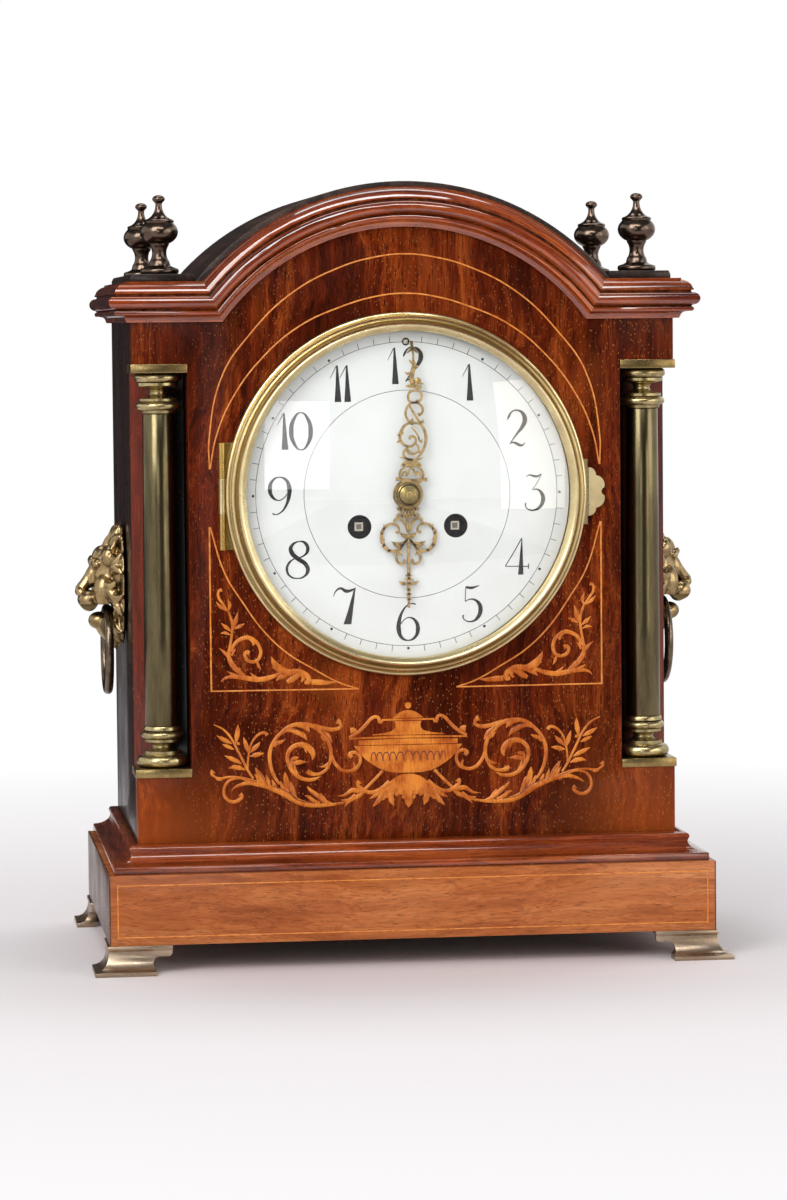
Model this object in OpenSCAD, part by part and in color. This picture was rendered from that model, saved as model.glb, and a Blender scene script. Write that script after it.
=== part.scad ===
// Table clock in an arched mahogany case with brass corner columns,
// a round enamel dial behind a hinged bezel, and a two-train striking movement.
// The origin is at the middle of the footprint, on the surface the feet stand on.
// X runs to the right, Y from the dial to the rear door, Z upwards. Millimetres.

/* [Feet] */
// Height of the bracket feet
foot_h = 13; // [11:0.5:18]
// How far a foot flares out past the plinth
foot_flare = 7; // [6.5:0.25:9]
// Length of each wing of a foot, from the plinth's corner
foot_wing = 28.5; // [26:0.5:36]
// Wall of the hollow foot casting
foot_wall = 2.5; // [2:0.25:3.5]

/* [Plinth] */
// Height of the plinth box
plinth_h = 32; // [26:1:44]
// How far the plinth stands out at each side of the case
plinth_side = 15; // [14:0.5:20]
// How far the plinth stands out in front of the case
plinth_front = 21; // [19:0.5:28]
// Thickness of the plinth walls
plinth_wall = 16; // [10:1:16]
// Thickness of the board inside the plinth that carries the case
base_board_t = 8; // [6:1:12]
// Height of the moulding on the plinth
plinth_mould_h = 12; // [11:0.5:15]
// How far the lower edge of that moulding keeps back from the plinth edge
plinth_mould_back = 2.7; // [2:0.1:3.5]

/* [Case] */
// Width of the case body
case_w = 250; // [244:1:280]
// Depth of the case body
case_d = 150; // [142:1:180]
// Thickness of the side and back boards
board_t = 10; // [8:0.5:12]
// Thickness of the front board
front_t = 12; // [10:0.5:14]
// Width and depth of the corner recess for a column
niche_w = 25; // [24:0.5:28]
// Height of the recess floor above the plinth
niche_rise = 42; // [36:1:60]
// Height of the recess
niche_h = 189; // [170:1:210]
// Height of the wood between the recess and the cornice
niche_head = 19; // [15:0.5:26]
// Thickness of the wood that lines the recess
niche_wall = 6; // [4:0.5:8]

/* [Cornice and roof] */
// Height of the cornice moulding
cornice_h = 18.4; // [16:0.2:21]
// How far the cornice stands out at its boldest bead
cornice_out = 10.8; // [9:0.2:12]
// Distance of the arch's widest point, along the lower edge of the moulding, from the case side
arch_side = 21.5; // [19:0.5:25]
// Depth of the arch's centre below the cornice's lower edge
arch_drop = 60.8; // [56:0.5:64]
// Thickness of the barrel roof
roof_t = 6; // [4:0.5:8]
// How far the roof stands above the arch moulding
roof_proud = 2.4; // [1:0.2:4]
// Thickness of the boards that close the shoulders
shoulder_t = 6; // [4:0.5:9]
// Height of the cap boards under the finials
cap_h = 3.6; // [2.5:0.1:6]
// How far the cap boards keep back from the front and back
cap_back = 5; // [3.5:0.5:8]

/* [Finials] */
// Height of a finial
finial_h = 36; // [30:0.5:44]
// Radius of the finial's ball
finial_r = 8.7; // [7:0.1:10]
// Distance of the finial's axis from the case side
finial_in = 14; // [12:0.5:16]
// Distance of the front finials from the case front
finial_front = 15; // [14.5:0.5:24]
// Distance of the rear finials from the case back
finial_rear = 17.5; // [17.5:0.5:24]

/* [Columns] */
// Radius of the column shaft at its foot
shaft_r = 8; // [6:0.1:9]
// How much the shaft narrows towards its top
shaft_taper = 0.5; // [0:0.1:1]
// Thickness of the square plates above and below a column
column_plate_t = 4; // [3:0.25:5]
// How far those plates stand proud of the case
column_plate_proud = 0.8; // [0.4:0.1:1.5]
// Height of the turned base
column_base_h = 19; // [17:0.5:24]
// Height of the turned capital
column_cap_h = 18.4; // [17:0.5:24]
// Radius of the boldest ring of the base
column_base_r = 12; // [11:0.1:12]
// Radius of the boldest ring of the capital
column_cap_r = 11; // [10:0.1:12]

/* [Dial and bezel] */
// Distance of the dial's centre below the arch's centre
dial_drop = 18.7; // [16:0.1:24]
// Radius of the enamel dial
dial_r = 75.2; // [73:0.2:77]
// How far the middle of the dial bulges forward
dial_dome = 2; // [1:0.25:3]
// Thickness of the enamel dial
dial_t = 1.4; // [1:0.1:2]
// Width of the bezel, seen from the front
bezel_w = 8.9; // [8:0.1:12]
// How far the bezel stands out in front of the case
bezel_h = 13.5; // [12.5:0.25:16]
// Thickness of the glass
glass_t = 1.8; // [1.4:0.1:2.5]
// How far the middle of the bezel glass bulges forward
glass_dome = 9.5; // [8:0.5:13]
// Radius of the holes for the winding key
key_hole_r = 5.5; // [4.5:0.1:6]
// Length of the bezel's hinge
bezel_hinge_l = 49; // [36:1:56]
// Radius of the hinge knuckles
knuckle_r = 1.4; // [1.2:0.1:1.6]
// Radius of the hinge pins
hinge_pin_r = 0.7; // [0.5:0.05:0.8]

/* [Hands] */
// Length of the minute hand from the centre
minute_hand_l = 71.5; // [64:0.5:73]
// Length of the hour hand from the centre
hour_hand_l = 52; // [46:0.5:58]
// Thickness of the hands
hand_t = 0.8; // [0.6:0.1:1.2]

/* [Movement] */
// Radius of the round movement plates
plate_r = 52; // [51.5:0.25:54]
// Thickness of the movement plates
plate_t = 2.2; // [1.8:0.1:3]
// Clear distance between the plates
plate_gap = 38; // [38:0.5:42]
// Distance of the front plate behind the case front
plate_y = 8.5; // [8.5:0.25:10]
// Sideways distance of a winding arbor from the dial's centre
wind_x = 22.2; // [22:0.1:23]
// Distance of a winding arbor below the dial's centre
wind_drop = 14.7; // [14:0.1:16]
// Height of the regulator arbor above the dial's centre
regulator_up = 69.6; // [66:0.2:69.8]
// Length of the pendulum from its bending point to the middle of the bob
pendulum_l = 162; // [140:1:166]
// Radius of the pendulum bob
bob_r = 17; // [14:0.5:19]
// Thickness of the pendulum bob
bob_t = 12; // [8:0.5:13]
// Distance of the strap bars from the middle of the movement
strap_x = 58; // [56.5:0.25:58.5]

/* [Gong] */
// Outer radius of the coiled gong
gong_r = 36; // [30:0.5:38]
// Number of turns of the gong
gong_turns = 4.5; // [3:0.5:5]
// Width of the gong's wire
gong_wire = 2.2; // [1.6:0.1:2.6]
// Distance between neighbouring turns, middle to middle
gong_pitch = 5; // [4:0.25:6]

/* [Rear door] */
// Radius of the round opening in the case back
rear_hole_r = 66; // [65:0.5:70]
// Width of the rear door's rim
door_rim_w = 13; // [10:0.5:16]
// Thickness of the rear door's rim
door_t = 2.6; // [2:0.1:2.8]

/* [Lion masks] */
// Height of a lion mask
mask_h = 62; // [56:1:66]
// Width of a lion mask
mask_w = 47; // [42:1:54]
// How far the nose stands out from the case side
mask_out = 24; // [22:0.5:28]
// Height of the mask's middle above the plinth
mask_rise = 127; // [120:1:135]
// Outer diameter of the ring handle
ring_d = 43; // [36:0.5:48]
// Thickness of the ring handle's bar
ring_bar = 4.2; // [3:0.1:5]

/* [Hidden] */
$fn = 96;
run_clear = 0.05;
touch_clear = 0.2;

mahogany = "#6b2a16";
plinth_wood = "#9a5a30";
dark_wood = "#3a1a12";
aged_brass = "#8a7a48";
dark_bronze = "#4a4334";
feet_brass = "#a79a78";
yellow_brass = "#c2a14d";
steel = "#8d9298";
blue_steel = "#2b3550";
gilt = "#b08a45";

// Main planes of the case
side_x = case_w / 2;
arch_r = side_x - arch_side;
body_h = niche_rise + niche_h + niche_head;
case_z = foot_h + plinth_h;
front_y = (plinth_front - case_d) / 2;
back_y = front_y + case_d;
plinth_y = front_y - plinth_front;
cornice_z = case_z + body_h;
shoulder_z = cornice_z + cornice_h;
arch_z = cornice_z - arch_drop;
roof_r = arch_r + cornice_h + roof_proud;
inner_r = roof_r - roof_t;
cap_z = shoulder_z + cap_h;
// The caps start where the roof leaves the shoulders
cap_in = sqrt(roof_r ^ 2 - (shoulder_z - arch_z) ^ 2) + touch_clear;
cap_w = side_x - cap_in;
plinth_x = side_x + plinth_side;
dial_z = arch_z - dial_drop;
niche_z = case_z + niche_rise;
niche_top = niche_z + niche_h;

// Movement layout, measured from the dial's centre in X and Z
function polar(p, d, a) = p + d * [cos(a), sin(a)];
function aim(p, q) = atan2(q[1] - p[1], q[0] - p[0]);
function gear_r(m, z) = m * z / 2;
heavy_m = 0.5;
light_m = 0.4;
fine_m = 0.36;
fly_m = 0.27;
leaves = 10;
barrel_teeth = 78;
second_teeth = 52;
centre_teeth = 64;
third_teeth = 60;
pin_teeth = 64;
warning_teeth = 60;
cannon_teeth = 12;
minute_teeth = 36;
minute_leaves = 10;
hour_teeth = 40;
motion_m = 0.5;
hour_m = motion_m * (cannon_teeth + minute_teeth) / (minute_leaves + hour_teeth);
escape_r = 9.5;
escape_teeth = 36;
function mesh_d(m, a, b) = gear_r(m, a + b);
centre_p = [0, 0];
going_p = [wind_x, -wind_drop];
strike_p = [-wind_x, -wind_drop];
barrel_reach = mesh_d(heavy_m, barrel_teeth, leaves);
second_reach = mesh_d(heavy_m, second_teeth, leaves);
// The second arbor stands where both of its meshes have their right distance
going_dist = norm(going_p);
going_turn = acos((second_reach ^ 2 + going_dist ^ 2 - barrel_reach ^ 2) / (2 * second_reach * going_dist));
second_p = polar(centre_p, second_reach, aim(centre_p, going_p) + going_turn);
third_p = polar(centre_p, mesh_d(light_m, centre_teeth, leaves), 100);
escape_reach = mesh_d(fine_m, third_teeth, leaves);
escape_p = [0, third_p[1] + sqrt(escape_reach ^ 2 - third_p[0] ^ 2)];
anchor_up = 14.6;
anchor_p = escape_p + [0, anchor_up];
strike_second_p = polar(strike_p, barrel_reach, 120);
pin_p = polar(strike_second_p, second_reach, 60);
warning_p = polar(pin_p, mesh_d(fine_m, pin_teeth, leaves), 50);
fly_p = polar(warning_p, mesh_d(fly_m, warning_teeth, leaves), 100);
hammer_p = polar(pin_p, 15, 150);
minute_p = polar(centre_p, mesh_d(motion_m, cannon_teeth, minute_teeth), -90);
regulator_p = [0, regulator_up];
pillar_angles = [45, 135, 190, 350, 270];
pillar_place = plate_r - 3.5;
post_angles = [20, 160, 215, 325];
post_place = plate_r - 4;

// Depths behind the case front
plate_in = plate_y + plate_t;
plate_out = plate_in + plate_gap;
back_plate_end = plate_out + plate_t;
drum_y = plate_in + 2.3;
drum_l = 14;
barrel_wheel_y = drum_y + drum_l;
barrel_wheel_t = 2;
wheel_t = 1.6;
second_wheel_y = barrel_wheel_y + 6;
centre_wheel_y = second_wheel_y + 5;
third_wheel_y = centre_wheel_y + 5;
escape_wheel_y = plate_in + 5.3;
warning_wheel_y = barrel_wheel_y - 3;
leaf_over = 1.2;
pivot_r = 0.8;
arbor_r = 1.1;
wind_arbor_r = 2.5;
wind_pivot_r = 2;
pendulum_y = back_plate_end + 7;
rod_r = 1.5;
crutch_y = back_plate_end + 2;
gong_y = pendulum_y + bob_t / 2 + 5;
gong_z = dial_z + anchor_p[1] - pendulum_l + 22;

// A flat shape drawn in X and Z, from depth y0 and t thick
module slab(y0, t) {
    translate([0, front_y + y0 + t, 0])
        rotate([90, 0, 0])
            linear_extrude(t)
                children();
}

// The same, with its origin at the dial's centre
module movement_slab(y0, t, p = [0, 0]) {
    translate([p[0], 0, dial_z + p[1]])
        slab(y0, t)
            children();
}

// A turned piece about a Y axis at p from the dial's centre: points are radius and depth
module turned(points, p = [0, 0]) {
    translate([p[0], front_y, dial_z + p[1]])
        rotate([90, 0, 0])
            rotate_extrude()
                polygon([for (q = points) [q[0], -q[1]]]);
}

// A round bar along Y, from depth y0 to y1
module bar(p, r, y0, y1) {
    translate([p[0], front_y + y0, dial_z + p[1]])
        rotate([-90, 0, 0])
            cylinder(r = r, h = y1 - y0);
}

// A turned piece about a vertical axis: points are radius and height
module lathe(x, y, z, points) {
    translate([x, y, z])
        rotate_extrude()
            polygon(points);
}

// Points of an arc about c, from angle a to b in n steps
function arc(c, r, a, b, n = 6) =
    [for (i = [0 : n]) [c[0] + r * cos(a + (b - a) * i / n), c[1] + r * sin(a + (b - a) * i / n)]];

// Points of an arc with two radii
function oval(c, rx, ry, a, b, n = 6) =
    [for (i = [0 : n]) [c[0] + rx * cos(a + (b - a) * i / n), c[1] + ry * sin(a + (b - a) * i / n)]];

function flip(points) = [for (i = [len(points) - 1 : -1 : 0]) points[i]];

// Left and right copies
module both_sides() {
    children();
    mirror([1, 0, 0])
        children();
}

// A moulding that runs along both sides and the front and is mitred at the corners:
// profile points are how far it stands out, and height
module mitred(profile, x, y_front, y_back) {
    out = max([for (p = profile) p[0]]);
    right = [for (p = profile) [x + p[0], p[1]]];
    left = [for (p = profile) [-x - p[0], p[1]]];
    top = profile[len(profile) - 1][1];
    intersection() {
        translate([0, y_back, 0])
            rotate([90, 0, 0])
                linear_extrude(y_back - y_front + out + 1)
                    polygon(concat(right, flip(left)));
        translate([-x - out - 1, 0, 0])
            rotate([90, 0, 90])
                linear_extrude(2 * (x + out + 1))
                    polygon(concat([for (p = profile) [y_front - p[0], p[1]]],
                        [[y_back, top], [y_back, profile[0][1]]]));
    }
}

// The case's wooden parts

module plinth() {
    color(plinth_wood)
        difference() {
            translate([-plinth_x, plinth_y, foot_h])
                cube([2 * plinth_x, case_d + plinth_front, plinth_h]);
            translate([-plinth_x + plinth_wall, plinth_y + plinth_wall, foot_h - 1])
                cube([2 * (plinth_x - plinth_wall), case_d + plinth_front - 2 * plinth_wall, plinth_h + 2]);
        }
}

module base_board() {
    color(dark_wood)
        translate([-plinth_x + plinth_wall, plinth_y + plinth_wall, case_z - base_board_t])
            cube([2 * (plinth_x - plinth_wall), case_d + plinth_front - 2 * plinth_wall, base_board_t]);
}

// Lower fillet, cove and rounded upper fillet
plinth_mould_out = plinth_side - plinth_mould_back;
plinth_fillet = 3.6;
plinth_bead = 3.6;
plinth_profile = let (cove = plinth_mould_h - plinth_fillet - plinth_bead, run = plinth_mould_out - 4.4)
    [for (p = concat([[0, 0], [plinth_mould_out, 0], [plinth_mould_out, plinth_fillet - 0.4]],
        oval([plinth_mould_out - 0.5, plinth_fillet + cove], run, cove, 270, 180, 6),
        arc([plinth_mould_out - run - 1.3, plinth_mould_h - 1.6], 1.6, 0, 90, 4),
        [[0, plinth_mould_h]])) [p[0], p[1] + case_z]];

module plinth_moulding() {
    extra = plinth_front - plinth_side;
    color(mahogany)
        difference() {
            mitred(plinth_profile, side_x, front_y - extra, back_y);
            translate([-side_x, front_y, case_z - 1])
                cube([case_w, case_d + 1, plinth_mould_h + 2]);
        }
}

// Outline shared by the front and the back board
module arched_outline() {
    translate([-side_x, case_z])
        square([case_w, shoulder_z - case_z]);
    translate([0, arch_z])
        circle(inner_r);
}

module case_front() {
    color(mahogany)
        slab(0, front_t)
            difference() {
                arched_outline();
                translate([0, dial_z])
                    circle(pan_r + touch_clear);
                both_sides()
                    translate([side_x - niche_w, niche_z])
                        square([niche_w + 1, niche_h]);
            }
}

module case_back() {
    color(dark_wood)
        slab(case_d - board_t, board_t)
            difference() {
                arched_outline();
                translate([0, dial_z])
                    circle(rear_hole_r);
            }
}

// A side board with the wood that lines the column's recess behind the front board
module case_side() {
    x0 = side_x - niche_w - niche_wall;
    y0 = front_y + front_t;
    color(mahogany)
        difference() {
            union() {
                translate([side_x - board_t, y0, case_z])
                    cube([board_t, case_d - board_t - front_t, shoulder_z - case_z]);
                translate([x0, y0, niche_z - niche_wall])
                    cube([side_x - x0, niche_w - front_t + niche_wall, niche_h + 2 * niche_wall]);
            }
            translate([side_x - niche_w, y0 - 1, niche_z])
                cube([niche_w + 1, niche_w - front_t + 1, niche_h]);
        }
}

module case_side_right() {
    case_side();
}

module case_side_left() {
    mirror([1, 0, 0])
        case_side();
}

shoulder_in = sqrt(inner_r ^ 2 - (shoulder_z - arch_z) ^ 2) - 8;

module shoulder_boards() {
    color(dark_wood)
        both_sides()
            translate([shoulder_in, front_y + front_t, shoulder_z - shoulder_t])
                cube([side_x - board_t - shoulder_in, case_d - front_t - board_t, shoulder_t]);
}

module arched_roof() {
    color(dark_wood)
        slab(0, case_d)
            intersection() {
                translate([0, arch_z])
                    difference() {
                        circle(roof_r);
                        circle(inner_r);
                    }
                translate([-side_x, shoulder_z])
                    square([case_w, roof_r]);
            }
}

// Cornice profile from its lower edge: cove, bead, bold round, groove and ogee
cornice_profile = let (k = cornice_out / 10.8, h = cornice_h / 18.4) [for (p = concat(
    [[0, 0], [2.5, 0], [2.7, 0.7]],
    oval([5.4, 0.9], 2.5, 2.1, 180, 90, 4),
    [[6.4, 3.2]],
    arc([7.2, 4.2], 1.1, 250, 450, 5),
    [[7.6, 5.8]],
    oval([7.8, 8.9], 3, 2.9, 275, 450, 8),
    [[7.2, 12], [7.2, 12.7], [8.2, 12.9], [8.2, 13.6]],
    oval([3.2, 12.6], 4.8, 4.8, 10, 62, 4),
    [[4.3, 17.4], [3.3, 17.7], [3.3, 18.4], [0, 18.4]])) [p[0] * k, p[1] * h]];

// Half widths of the mitre between the straight cornice and the arch
mitre_low = sqrt(arch_r ^ 2 - arch_drop ^ 2);
mitre_high = sqrt((arch_r + cornice_h) ^ 2 - (arch_drop + cornice_h) ^ 2);
mitre_lean = (mitre_high - mitre_low) / cornice_h;

// The part of the cornice's front that belongs to the arch
module arch_wedge(grow) {
    rise = roof_r;
    translate([0, cornice_z])
        polygon([[-mitre_low, -grow], [mitre_low, -grow], [mitre_low, 0],
            [mitre_low + mitre_lean * rise, rise], [-mitre_low - mitre_lean * rise, rise],
            [-mitre_low, 0]]);
}

module cornice_moulding() {
    straight = [for (p = cornice_profile) [p[0], p[1] + cornice_z]];
    color(mahogany) {
        difference() {
            mitred(straight, side_x, front_y, back_y);
            translate([-side_x, front_y, cornice_z - 1])
                cube([case_w, case_d + 1, cornice_h + 2]);
            slab(-cornice_out - 1, cornice_out + 1)
                arch_wedge(1);
        }
        intersection() {
            translate([0, front_y, arch_z])
                rotate([90, 0, 0])
                    rotate_extrude()
                        polygon([for (p = cornice_profile) [p[1] + arch_r, p[0]]]);
            slab(-cornice_out - 1, cornice_out + 1)
                arch_wedge(0);
        }
    }
}

module shoulder_caps() {
    y0 = front_y + cap_back;
    edge = 0.9;
    color(dark_wood)
        both_sides()
            translate([side_x - cap_w, y0, 0])
                intersection() {
                    translate([0, 0, shoulder_z])
                        cube([cap_w, case_d - 2 * cap_back, cap_h]);
                    translate([0, case_d, 0])
                        rotate([90, 0, 0])
                            linear_extrude(case_d + 1)
                                polygon([[-1, shoulder_z], [cap_w, shoulder_z], [cap_w, cap_z - 2 * edge],
                                    [cap_w - edge, cap_z], [-1, cap_z]]);
                }
}

// Turned brass finial, drawn for a height of 36 and a ball of 8.7
finial_profile = let (k = finial_r / 8.7, h = finial_h / 36) [for (p = concat(
    [[0, 0], [8.4, 0]],
    oval([8, 1.3], 0.9, 1.3, 270, 450, 5),
    [[6.2, 3.2], [5, 3.9]],
    oval([6.7, 9.6], 3.4, 4.8, 230, 135, 6),
    [[4.5, 13.4], [4.5, 14.2]],
    oval([0, 19.2], 8.7, 6.2, 302, 395, 10),
    [[6.6, 23.4], [6.9, 24.2], [6.4, 24.8]],
    oval([7.4, 31.6], 5.9, 6.9, 255, 180, 5),
    [[1.5, 32.2]],
    oval([0, 34.2], 2.9, 1.8, 320, 450, 6))) [p[0] * k, p[1] * h]];

module finials() {
    color(dark_bronze)
        both_sides() {
            lathe(side_x - finial_in, front_y + finial_front, cap_z, finial_profile);
            lathe(side_x - finial_in, back_y - finial_rear, cap_z, finial_profile);
        }
}

// Corner foot: a thin casting with a cavetto flare and a scalloped end on each wing
foot_edge = 1.9;
foot_profile = let (reach = foot_flare - 0.8, drop = foot_h - foot_edge - 2.6) concat(
    [[foot_flare, 0], [foot_flare, foot_edge]],
    oval([reach, foot_h - 2.4], reach - 0.3, drop, 270, 180, 7),
    [[0.6, foot_h - 1.9], [1, foot_h - 1.2], [0.8, foot_h]]);

module foot_prism() {
    translate([0, foot_wing, 0])
        rotate([90, 0, 0])
            linear_extrude(foot_wing + foot_flare + 1)
                polygon(concat([for (p = foot_profile) [-p[0], p[1]]], [[foot_wing, foot_h], [foot_wing, 0]]));
}

// What the scallop takes off a wing, with X along the wing from the corner
module scallop() {
    x = foot_wing - 7.7;
    low = foot_h - 5;
    difference() {
        union() {
            translate([x, -1])
                square([foot_wing, low - 2]);
            translate([x + 1.8, low - 3])
                circle(3);
            translate([x + 1.8, low - 4])
                square([foot_wing, 4]);
            translate([foot_wing - 2, low - 1])
                square([4, 3]);
        }
        translate([foot_wing - 2, low + 2])
            circle(2);
    }
}

module corner_foot() {
    plate = 1.5;
    difference() {
        intersection() {
            foot_prism();
            mirror([1, -1, 0])
                foot_prism();
        }
        translate([foot_wall, foot_wall, -1])
            cube([foot_wing, foot_wing, foot_h - plate + 1]);
        translate([0, foot_wall, 0])
            rotate([90, 0, 0])
                linear_extrude(foot_wall + foot_flare + 1)
                    scallop();
        mirror([1, -1, 0])
            translate([0, foot_wall, 0])
                rotate([90, 0, 0])
                    linear_extrude(foot_wall + foot_flare + 1)
                        scallop();
    }
}

module bracket_feet() {
    color(feet_brass)
        both_sides()
            translate([-plinth_x, 0, 0]) {
                translate([0, plinth_y, 0])
                    corner_foot();
                translate([0, back_y, 0])
                    mirror([0, 1, 0])
                        corner_foot();
            }
}

// The brass columns

column_x = side_x - niche_w / 2;
column_y = front_y + niche_w / 2;
column_low = niche_z + column_plate_t;
column_high = niche_top - column_plate_t;

module column_plates() {
    size = niche_w + column_plate_proud;
    color(aged_brass)
        both_sides()
            for (z = [niche_z, column_high])
                translate([side_x - niche_w, front_y - column_plate_proud, z])
                    cube([size, size, column_plate_t]);
}

module column_shaft() {
    z0 = column_low + column_base_h;
    z1 = column_high - column_cap_h;
    color(dark_bronze)
        translate([column_x, column_y, z0])
            cylinder(r1 = shaft_r, r2 = shaft_r - shaft_taper, h = z1 - z0);
}

module column_right() {
    column_shaft();
}

module column_left() {
    mirror([1, 0, 0])
        column_shaft();
}

// Turned base, drawn for a height of 19 and a foot ring of 12
base_profile = let (k = column_base_r / 12, h = column_base_h / 19) [for (p = concat(
    [[0, 0], [9.8, 0]],
    oval([9.4, 2.9], 2.6, 2.9, 280, 440, 8),
    [[8.7, 6], [8.7, 7.5]],
    oval([8.3, 9.6], 3.7, 2, 260, 100, 6),
    [[8.3, 11.7], [8.3, 12.9]],
    oval([7.4, 14.9], 2.4, 1.9, 280, 440, 7),
    [[8.6, 17], [8.6, 18.4], [8.1, 19], [0, 19]])) [p[0] * k, p[1] * h]];

// Turned capital from its lower end, drawn for a height of 18.4 and a top ring of 11
capital_profile = let (k = column_cap_r / 11, h = column_cap_h / 18.4) [for (p = concat(
    [[0, 0], [8.2, 0], [8.4, 1.2]],
    oval([8.2, 3.2], 2.4, 2, 280, 440, 7),
    [[8.9, 5.5], [8.9, 6.6], [6.4, 7.3]],
    oval([6, 9.4], 2.2, 1.9, 250, 110, 5),
    [[9.2, 12.3], [9.5, 12.6], [9.5, 13.8]],
    oval([8.6, 16.2], 2.4, 2.2, 280, 450, 7),
    [[0, 18.4]])) [p[0] * k, p[1] * h]];

module column_bases() {
    color(yellow_brass)
        both_sides()
            lathe(column_x, column_y, column_low, base_profile);
}

module column_capitals() {
    color(yellow_brass)
        both_sides()
            lathe(column_x, column_y, column_high - column_cap_h, capital_profile);
}

// The lion masks and their rings

mask_z = case_z + mask_rise;
mask_y = front_y + case_d / 2;
ring_r = (ring_d - ring_bar) / 2;
mouth_w = 10;
// Room in the mouth for the bend of the ring across the mouth's width
mouth_r = ring_bar / 2 + ring_r - sqrt(ring_r ^ 2 - (mouth_w / 2) ^ 2) + touch_clear;
mouth_x = side_x + mask_out * 0.36;
mouth_z = mask_z - mask_h * 0.19;

// A domed boss on the mask: a half oval turned about X, its base on the case side
module boss(y, z, r, h) {
    translate([side_x, mask_y + y, mask_z + z])
        rotate([0, 90, 0])
            rotate_extrude()
                polygon(concat([[0, 0]], oval([0, h * 0.4], r, h * 0.6, 0, 90, 6)));
}

// A wavy layer of the mane, w wide and h high, standing out by t
module mane(w, h, t, locks, z = 0) {
    translate([side_x, mask_y, mask_z + z])
        rotate([90, 0, 90])
            linear_extrude(t)
                polygon([for (i = [0 : 4 * locks - 1]) let (a = i * 90 / locks, k = 1 - 0.07 * (i % 4 == 0 ? 1 : 0))
                    [w / 2 * k * cos(a), h / 2 * k * sin(a)]]);
}

// Right-hand mask: two layers of mane with the head, brows, nose, muzzle and beard on them
module lion_mask() {
    out = mask_out;
    // Farthest the mask stands out beside the mouth, behind the hanging ring
    behind = mouth_x - ring_bar / 2 - touch_clear - side_x;
    color(aged_brass)
        difference() {
            union() {
                mane(mask_w, mask_h, 4, 14);
                mane(mask_w * 0.8, mask_h * 0.76, 7.2, 11, mask_h * 0.06);
                boss(0, mask_h * 0.12, mask_w * 0.3, out * 0.72);
                for (side = [-1, 1]) {
                    boss(side * mask_w * 0.125, mask_h * 0.17, mask_w * 0.095, out * 0.8);
                    boss(side * mask_w * 0.12, -mask_h * 0.1, mask_w * 0.15, out * 0.74);
                    boss(side * mask_w * 0.3, mask_h * 0.34, mask_w * 0.1, out * 0.5);
                }
                boss(0, -mask_h * 0.02, mask_w * 0.13, out);
                boss(0, -mask_h * 0.28, mouth_w * 0.45, out * 0.62);
                boss(0, -mask_h * 0.4, mask_w * 0.13, out * 0.34);
                translate([side_x, mask_y - mouth_w / 2, mouth_z - 5])
                    cube([mouth_x - side_x + 5, mouth_w, 10]);
            }
            translate([mouth_x, mask_y - mask_w, mouth_z])
                rotate([-90, 0, 0])
                    cylinder(r = mouth_r, h = 2 * mask_w);
            // Room for the ring beside the mouth, from hanging to fully raised
            for (side = [-1, 1])
                translate([side_x + behind, mask_y + side * (mouth_w + mask_w) / 2 - mask_w / 2,
                    mouth_z - mask_h])
                    cube([out, mask_w, mask_h + ring_bar / 2 + 2 * touch_clear]);
        }
}

module ring_handle() {
    color(dark_bronze)
        translate([mouth_x, mask_y, mouth_z - ring_r])
            rotate([0, 90, 0])
                rotate_extrude()
                    translate([ring_r, 0])
                        circle(ring_bar / 2, $fn = 32);
}

module lion_mask_right() {
    lion_mask();
}

module lion_mask_left() {
    mirror([1, 0, 0])
        lion_mask();
}

module ring_handle_right() {
    ring_handle();
}

module ring_handle_left() {
    mirror([1, 0, 0])
        ring_handle();
}

// Dial, its pan and the bezel

pan_r = dial_r + 1.8;
pan_wall = 1.4;
pan_floor_y = plate_y - 4;
pan_floor_t = 1.5;
pan_flange_t = 0.8;
dial_edge_y = -2.4;
bezel_r = dial_r - 0.6 + bezel_w;
bezel_back = -pan_flange_t - touch_clear;
sight_r = bezel_r - bezel_w;
hinge_x = bezel_r + 1.4;
hinge_y = -knuckle_r - 1.2;
knuckle_l = bezel_hinge_l / 3;
knuckle_gap = 0.15;
catch_out = 8.4;
catch_l = 30;
glass_seat_y = -bezel_h + 3.4;
glass_r = sight_r + 1.6;

// Three-part hinge at x, from the front plane at depth y: part 0 is the fixed outer knuckles
// with the pin, part 1 the middle knuckle
module knuckles(x, y, part) {
    bore = hinge_pin_r + run_clear;
    translate([x, front_y + y, dial_z]) {
        if (part == 0) {
            for (side = [-1, 1])
                translate([0, 0, side * knuckle_l])
                    cylinder(r = knuckle_r, h = knuckle_l - knuckle_gap, center = true);
            cylinder(r = hinge_pin_r, h = bezel_hinge_l, center = true);
        } else {
            difference() {
                cylinder(r = knuckle_r, h = knuckle_l - knuckle_gap, center = true);
                cylinder(r = bore, h = bezel_hinge_l, center = true);
            }
        }
    }
}

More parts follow.
